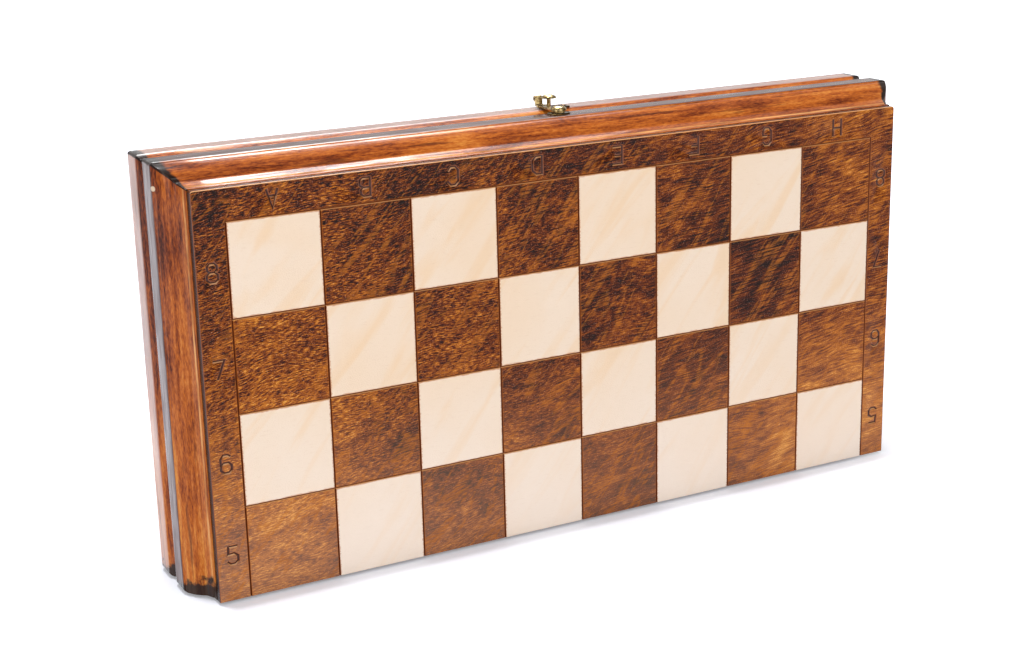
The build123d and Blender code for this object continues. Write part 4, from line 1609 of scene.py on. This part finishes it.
    def shaped(self, kind: Man) -> tuple[list[Vector], list[tuple[int, ...]]]:
        """One man of a kind, about the origin.

        Args:
            kind: the kind.

        Returns:
            His points and faces.
        """
        shape = Shape()
        outline = [(max(radius, 0.02) * MM, height * MM) for radius, height in smooth(kind.outline, 3)]
        shape.turn(outline, Vector((0, 0, 0)), self.segments)
        if kind is Man.KING:
            self.cross(shape)
        elif kind is Man.KNIGHT:
            shape.add(*self.horse())
        elif kind is not Man.PAWN:
            blank = shape.piece("blank", bpy.data.materials.new("blank"))
            result = bmesh.new()
            result.from_mesh(carved(blank, self.knife(kind)))
            bpy.data.objects.remove(blank)
            return self.listed(result)
        return shape.points, shape.faces

    def build(self) -> None:
        """Makes every man of this colour."""
        pale = self.side is Side.FRONT
        light, deep = (self.pale_light, self.pale_deep) if pale else (self.dark_light, self.dark_deep)
        name = f"{self.colour}_men_wood"
        finish = PlainWoodFinish(name, Grain.ALONG_Z, light, deep, roughness=0.30, coat=0.6, fineness=420.0)
        wood = finish.build()
        king_low, king_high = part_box(f"{self.colour}_king")
        depth = (king_low.y + king_high.y) / 2
        for kind in Man:
            low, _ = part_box(f"{self.colour}_{kind.node}")
            points, faces = self.shaped(kind)
            shape = Shape()
            for column in kind.columns:
                place = Vector(((column - (FILES - 1) / 2) * COLUMN_PITCH, depth, low.z))
                shape.add([place + point for point in points], faces)
            men = shape.piece(f"{self.colour}_{kind.node}_carved", wood, 40)
            slot = "pale_men" if pale else "dark_men"
            fit(men, self.side.body, slot, f"{self.colour}_{kind.node}")


# Hinges and clasp

@dataclass
class Hinges:
    """The folding hinges: leaves let into both hinge rails, rolled knuckles, pins and screws."""

    edge: float = 0.12 * MM
    screw_radius: float = 1.75 * MM
    screw_rise: float = 0.09 * MM
    slot_width: float = 0.45 * MM
    slot_depth: float = 0.198 * MM
    screw_offset: float = 10.0 * MM
    half_length: float = 16.0 * MM
    knuckle_rise: float = 3.3 * MM
    leaf_inset: float = 0.15 * MM

    def screw(self, shape: Shape, x: float, side: Side) -> None:
        """Adds one countersunk screw head with its slot.

        Args:
            shape: where it goes.
            x: place of its middle along the hinge.
            side: the half of the case that it is in.
        """
        z = (LEAF_LOW.z + LEAF_HIGH.z + self.knuckle_rise) / 2
        rows = []
        for share, rise in ((1.0, -0.35), (1.0, 0.2), (0.93, 0.75), (0.6, 1.0), (0.02, 1.0)):
            head = []
            for across, up, _ in ring((0, 0, 0), share * self.screw_radius, 32):
                in_slot = abs(up) < self.slot_width * 0.65 and share < 0.95
                y = self.leaf_inset + (self.slot_depth if in_slot else -self.screw_rise * rise)
                head.append(Vector((x + across, side.value * y, z + up)))
            rows.append(head)
        shape.loft(rows)

    def build(self) -> None:
        """Makes the leaves, pins and screws."""
        metal = BrassFinish("hinge_brass").build()
        for side in Side:
            leaves = softened(f"{side.label}_hinge_leaves", metal, self.edge, f"{side.label}_hinge_plates")
            fit(leaves, side.body, "brass", f"{side.label}_hinge_leaves")
            low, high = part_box(f"{side.label}_hinge_leaves")
            shape = Shape()
            for middle in (low.x + self.half_length, high.x - self.half_length):
                for offset in (-self.screw_offset, self.screw_offset):
                    self.screw(shape, middle + offset, side)
            fit(shape.piece(f"{side.label}_hinge_screws", metal), side.body, "brass")
        pins = softened("hinge_pins", metal, 0.2 * MM, "turned_hinge_pins")
        fit(pins, Side.FRONT.body, "brass", "hinge_pins")


@dataclass
class HookClasp:
    """The hook on the front half's top rail and the headed stud that it catches on the rear half."""

    plate_rise: float = 0.8 * MM
    edge: float = 0.18 * MM
    rivet_radius: float = 1.5 * MM
    stud_radius: float = 1.2 * MM
    oval: float = 2.3
    square: float = 5.0
    rim_steps: int = 64

    def pressed_plate(self, shape: Shape, low: Vector, high: Vector, hole: Vector, hole_radius: float,
                      squareness: float) -> None:
        """Adds a plate with a rolled rim, pressed from sheet.

        Args:
            shape: where it goes.
            low: its lowest corner.
            high: its highest corner.
            hole: the middle of its hole.
            hole_radius: the hole's radius.
            squareness: 2 for an oval, more for a rounder rectangle.
        """
        middle, half = (low + high) / 2, (high - low) / 2

        def rim(share: float, z: float) -> list[Vector]:
            """One outline of the plate.

            Args:
                share: how far it is drawn in.
                z: its height.

            Returns:
                Its points.
            """
            points = []
            for c, s, _ in ring((0, 0, 0), 1.0, self.rim_steps):
                x = math.copysign(abs(c) ** (2 / squareness), c) * half.x * share
                y = math.copysign(abs(s) ** (2 / squareness), s) * half.y * share
                points.append(Vector((middle.x + x, middle.y + y, z)))
            return points

        def bore(radius: float, z: float) -> list[Vector]:
            """One ring round the hole."""
            return ring((hole.x, hole.y, z), radius, self.rim_steps)

        top = low.z + self.plate_rise
        dish = top - 0.22 * MM
        rows = [rim(1.0, low.z), rim(1.0, low.z + 0.35 * MM), rim(0.985, top - 0.15 * MM), rim(0.95, top),
                rim(0.90, top), rim(0.86, dish), rim(0.62, dish), bore(hole_radius + 0.25 * MM, dish),
                bore(hole_radius, top - 0.4 * MM), bore(hole_radius, low.z)]
        shape.loft(rows, looped=True)

    def fixing(self, node: str, outline: Sequence[Point2], name: str, metal: bpy.types.Material,
               body: str) -> None:
        """Makes one turned fixing on a node's axis.

        Args:
            node: the node that it stands for.
            outline: its outline in millimetres, up from the node's foot.
            name: its name.
            metal: its material.
            body: the body that it rides on.
        """
        low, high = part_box(node)
        shape = Shape()
        place = Vector(((low.x + high.x) / 2, (low.y + high.y) / 2, low.z))
        shape.turn([(max(radius, 0.02) * MM, z * MM) for radius, z in smooth(outline, 4)], place)
        fit(shape.piece(name, metal, 40), body, "brass", node)

    def build(self) -> None:
        """Makes the clasp."""
        metal = BrassFinish().build()
        # Both plates are darkened: painted shade under the domed heads of the rivet and the stud.
        dome_shaded_brass = BrassFinish("dome_shaded_plate_brass", rgb(104, 84, 52), rgb(54, 40, 24), rgb(26, 18, 10)).build()
        dark = BrassFinish("keeper_nail_metal", rgb(120, 96, 60), rgb(70, 50, 28), rgb(30, 20, 12)).build()
        front, rear = Side.FRONT.body, Side.REAR.body
        for node, pin, radius, squareness, name, body in (
            ("clasp_pivot_plate", "clasp_rivet", self.rivet_radius, self.oval, "clasp_oval_plate", front),
            ("clasp_keeper_plate", "clasp_stud", self.stud_radius, self.square, "clasp_keeper", rear),
        ):
            pin_low, pin_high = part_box(pin)
            plate, (low, high) = Shape(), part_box(node)
            self.pressed_plate(plate, low, high, (pin_low + pin_high) / 2, radius, squareness)
            fit(plate.piece(name, dome_shaded_brass), body, "brass", node)
        nail = Shape()
        nail_place = Vector((high.x - 3.0 * MM, (low.y + high.y) / 2, low.z + 0.5 * MM))
        nail.turn([mm(*point) for point in ((1.5, 0.0), (1.5, 0.25), (1.2, 0.5), (0.6, 0.66), (0.02, 0.7))],
                  nail_place, 32)
        fit(nail.piece("clasp_keeper_nail", dark), rear, "brass")
        low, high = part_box("clasp_rivet")
        top = (high.z - low.z) / MM
        self.fixing("clasp_rivet", (
            (1.2, 0.0), (1.5, 0.4), (1.5, 0.4), (1.5, top - 2.2), (1.5, top - 2.2), (4.2, top - 2.2),
            (4.5, top - 1.9), (4.5, top - 1.9), (4.2, top - 1.1), (3.2, top - 0.4), (1.7, top - 0.05),
            (0.4, top),
        ), "clasp_domed_rivet", metal, front)
        low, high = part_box("clasp_stud")
        top = (high.z - low.z) / MM
        self.fixing("clasp_stud", (
            (0.6, 0.0), (1.2, 0.8), (1.2, 0.8), (1.2, top - 3.2), (1.2, top - 0.9), (1.2, top - 0.9),
            (2.4, top - 1.0), (3.5, top - 1.4), (4.3, top - 2.0), (4.3, top - 2.0), (4.5, top - 1.9),
            (4.5, top - 1.9), (4.1, top - 1.25), (3.1, top - 0.6), (1.7, top - 0.15), (0.4, top),
        ), "clasp_capped_stud", metal, rear)
        hook = softened("clasp_hook", metal, self.edge, "clasp_curled_hook", 3)
        fit(hook, "hook", "brass", "clasp_hook")


# Studio

@dataclass(frozen=True)
class Lamp:
    """One soft round lamp: where it stands and aims, its width in metres and its power in watts."""

    name: str
    place: tuple[float, float, float]
    aim: tuple[float, float, float]
    size: float
    power: float

    def build(self) -> None:
        """Adds the lamp to the scene."""
        data = bpy.data.lights.new(self.name, "AREA")
        data.shape, data.size, data.energy = "DISK", self.size, self.power
        lamp = bpy.data.objects.new(self.name, data)
        lamp.location = self.place
        lamp.rotation_mode = "QUATERNION"
        lamp.rotation_quaternion = (Vector(self.aim) - Vector(self.place)).to_track_quat("-Z", "Y")
        bpy.context.scene.collection.objects.link(lamp)


@dataclass
class Studio:
    """A white table with soft lamps, seen from the left and a little above."""

    lens: float = 62.2
    eye: tuple[float, float, float] = (-0.4717, -0.8584, 0.3899)
    ahead: tuple[float, float, float] = (0.447, 0.8502, -0.2782)
    right: tuple[float, float, float] = (0.8817, -0.4713, -0.0236)
    sensor: float = 36.0
    ambient: float = 0.56
    mirrored_room: float = 0.22
    mirrored_back: float = 0.5
    mirrored_strip: float = 14.0
    floor_paint: Colour = (0.74, 0.76, 0.84)
    floor_glow: float = 0.20
    floor_glow_beside: float = 0.3
    floor_glow_afar: float = 0.4
    floor_reach: float = 9.0
    floor_cells: int = 12
    lamps: tuple[Lamp, ...] = (
        Lamp("front_softbox", (0.3, -2.5, 1.2), (0, 0, 0.1), 2.2, 21.0),
        Lamp("left_softbox", (-1.6, -0.9, 0.6), (-0.2, 0, 0.1), 1.0, 7.0),
        Lamp("back_softbox", (0.40, 0.95, 1.62), (-0.1, 0, 0.2), 1.2, 9.0),
        Lamp("top_lamp", (-0.28, 0.055, 2.6), (0, 0, 0.1), 0.08, 32.0),
        Lamp("rear_left_softbox", (-0.9, 1.2, 1.5), (0, 0, 0.1), 0.6, 3.0),
    )

    def camera(self) -> None:
        """Sets the camera up."""
        data = bpy.data.cameras.new("camera")
        data.lens, data.sensor_width, data.sensor_fit = self.lens, self.sensor, "HORIZONTAL"
        data.clip_start, data.clip_end = 0.01, 60
        camera = bpy.data.objects.new("camera", data)
        ahead = Vector(self.ahead).normalized()
        right = Vector(self.right)
        right = (right - ahead * right.dot(ahead)).normalized()
        turn = Matrix((right, right.cross(ahead), -ahead)).transposed()
        camera.matrix_world = Matrix.Translation(self.eye) @ turn.to_4x4()
        bpy.context.scene.collection.objects.link(camera)
        bpy.context.scene.camera = camera

    def world(self) -> None:
        """A white room, dimmer behind the camera, that lights the object at a plain level."""
        world = bpy.data.worlds.new("white_room")
        graph = Graph(world)
        x, y, z = graph.parts(graph.point("Generated"))
        seen, shown = graph.wire("ShaderNodeLightPath", None, None, "Is Camera Ray"), graph.shown()
        back = y.step(-0.55, 0.35) * (1.0 - z.step(0.30, 0.80) * 0.9)
        strip = x.step(0.22, 0.27) * x.step(0.46, 0.36) * y.step(0.30, 0.38) * y.step(0.80, 0.72)
        strip = strip * z.over(0.0)
        mirrored = self.mirrored_room + back * self.mirrored_back + strip * self.mirrored_strip
        strength = seen + (shown - seen) * mirrored + (1.0 - shown) * self.ambient
        background = graph.wire("ShaderNodeBackground", None, {0: (1.0, 1.0, 1.0), 1: strength})
        graph.node("ShaderNodeOutputWorld", None, {0: background})
        bpy.context.scene.world = world

    def floor(self) -> None:
        """A white table top that fades into the room and keeps the object's shadow, but a painted glow washes
        it out past the case's right end.
        """
        graph = Graph("white_table")
        x, y, _ = graph.parts(graph.point())
        far = ((x * x + y * y) ** 0.5).step(0.5, 2.2)
        # The glow rises away from the case and rises early past its right end, a painted light that washes
        # out the shadow there.
        clear = (((x * 0.2) ** 2.0 + y * y) ** 0.5 + x.step(0.17, 0.24) * 0.12).step(0.056, 0.19)
        strength = self.floor_glow + clear * self.floor_glow_beside + far * self.floor_glow_afar
        paint = graph.wire("ShaderNodeBsdfDiffuse", None, {0: self.floor_paint})
        glow = graph.wire("ShaderNodeEmission", None, {0: (1.0, 1.0, 1.0), 1: graph.shown() * strength})
        both = graph.wire("ShaderNodeAddShader", None, {0: paint, 1: glow})
        graph.node("ShaderNodeOutputMaterial", None, {0: both})
        shape = Shape()
        cells = self.floor_cells
        lines = [self.floor_reach * (2 * line / cells - 1) for line in range(cells + 1)]
        shape.loft([[Vector((x, y, 0.0)) for x in lines] for y in lines], around=False, capped=False)
        shape.piece("table_top", graph.owner)

    def build(self) -> None:
        """Sets up the room."""
        bpy.context.scene.view_settings.view_transform = "Standard"
        self.camera()
        self.world()
        self.floor()
        for lamp in self.lamps:
            lamp.build()


def main() -> None:
    """Builds the set in order and reports each piece."""
    logging.basicConfig(level=logging.INFO, format="%(message)s")
    for side in Side:
        BoardPanel(side).build()
        MouldedRails(side).build()
        TrayFittings(side).build()
    ChessMen(Side.FRONT, "white").build()
    ChessMen(Side.REAR, "black").build()
    Hinges().build()
    HookClasp().build()
    Studio().build()


if __name__ == "__main__":
    main()
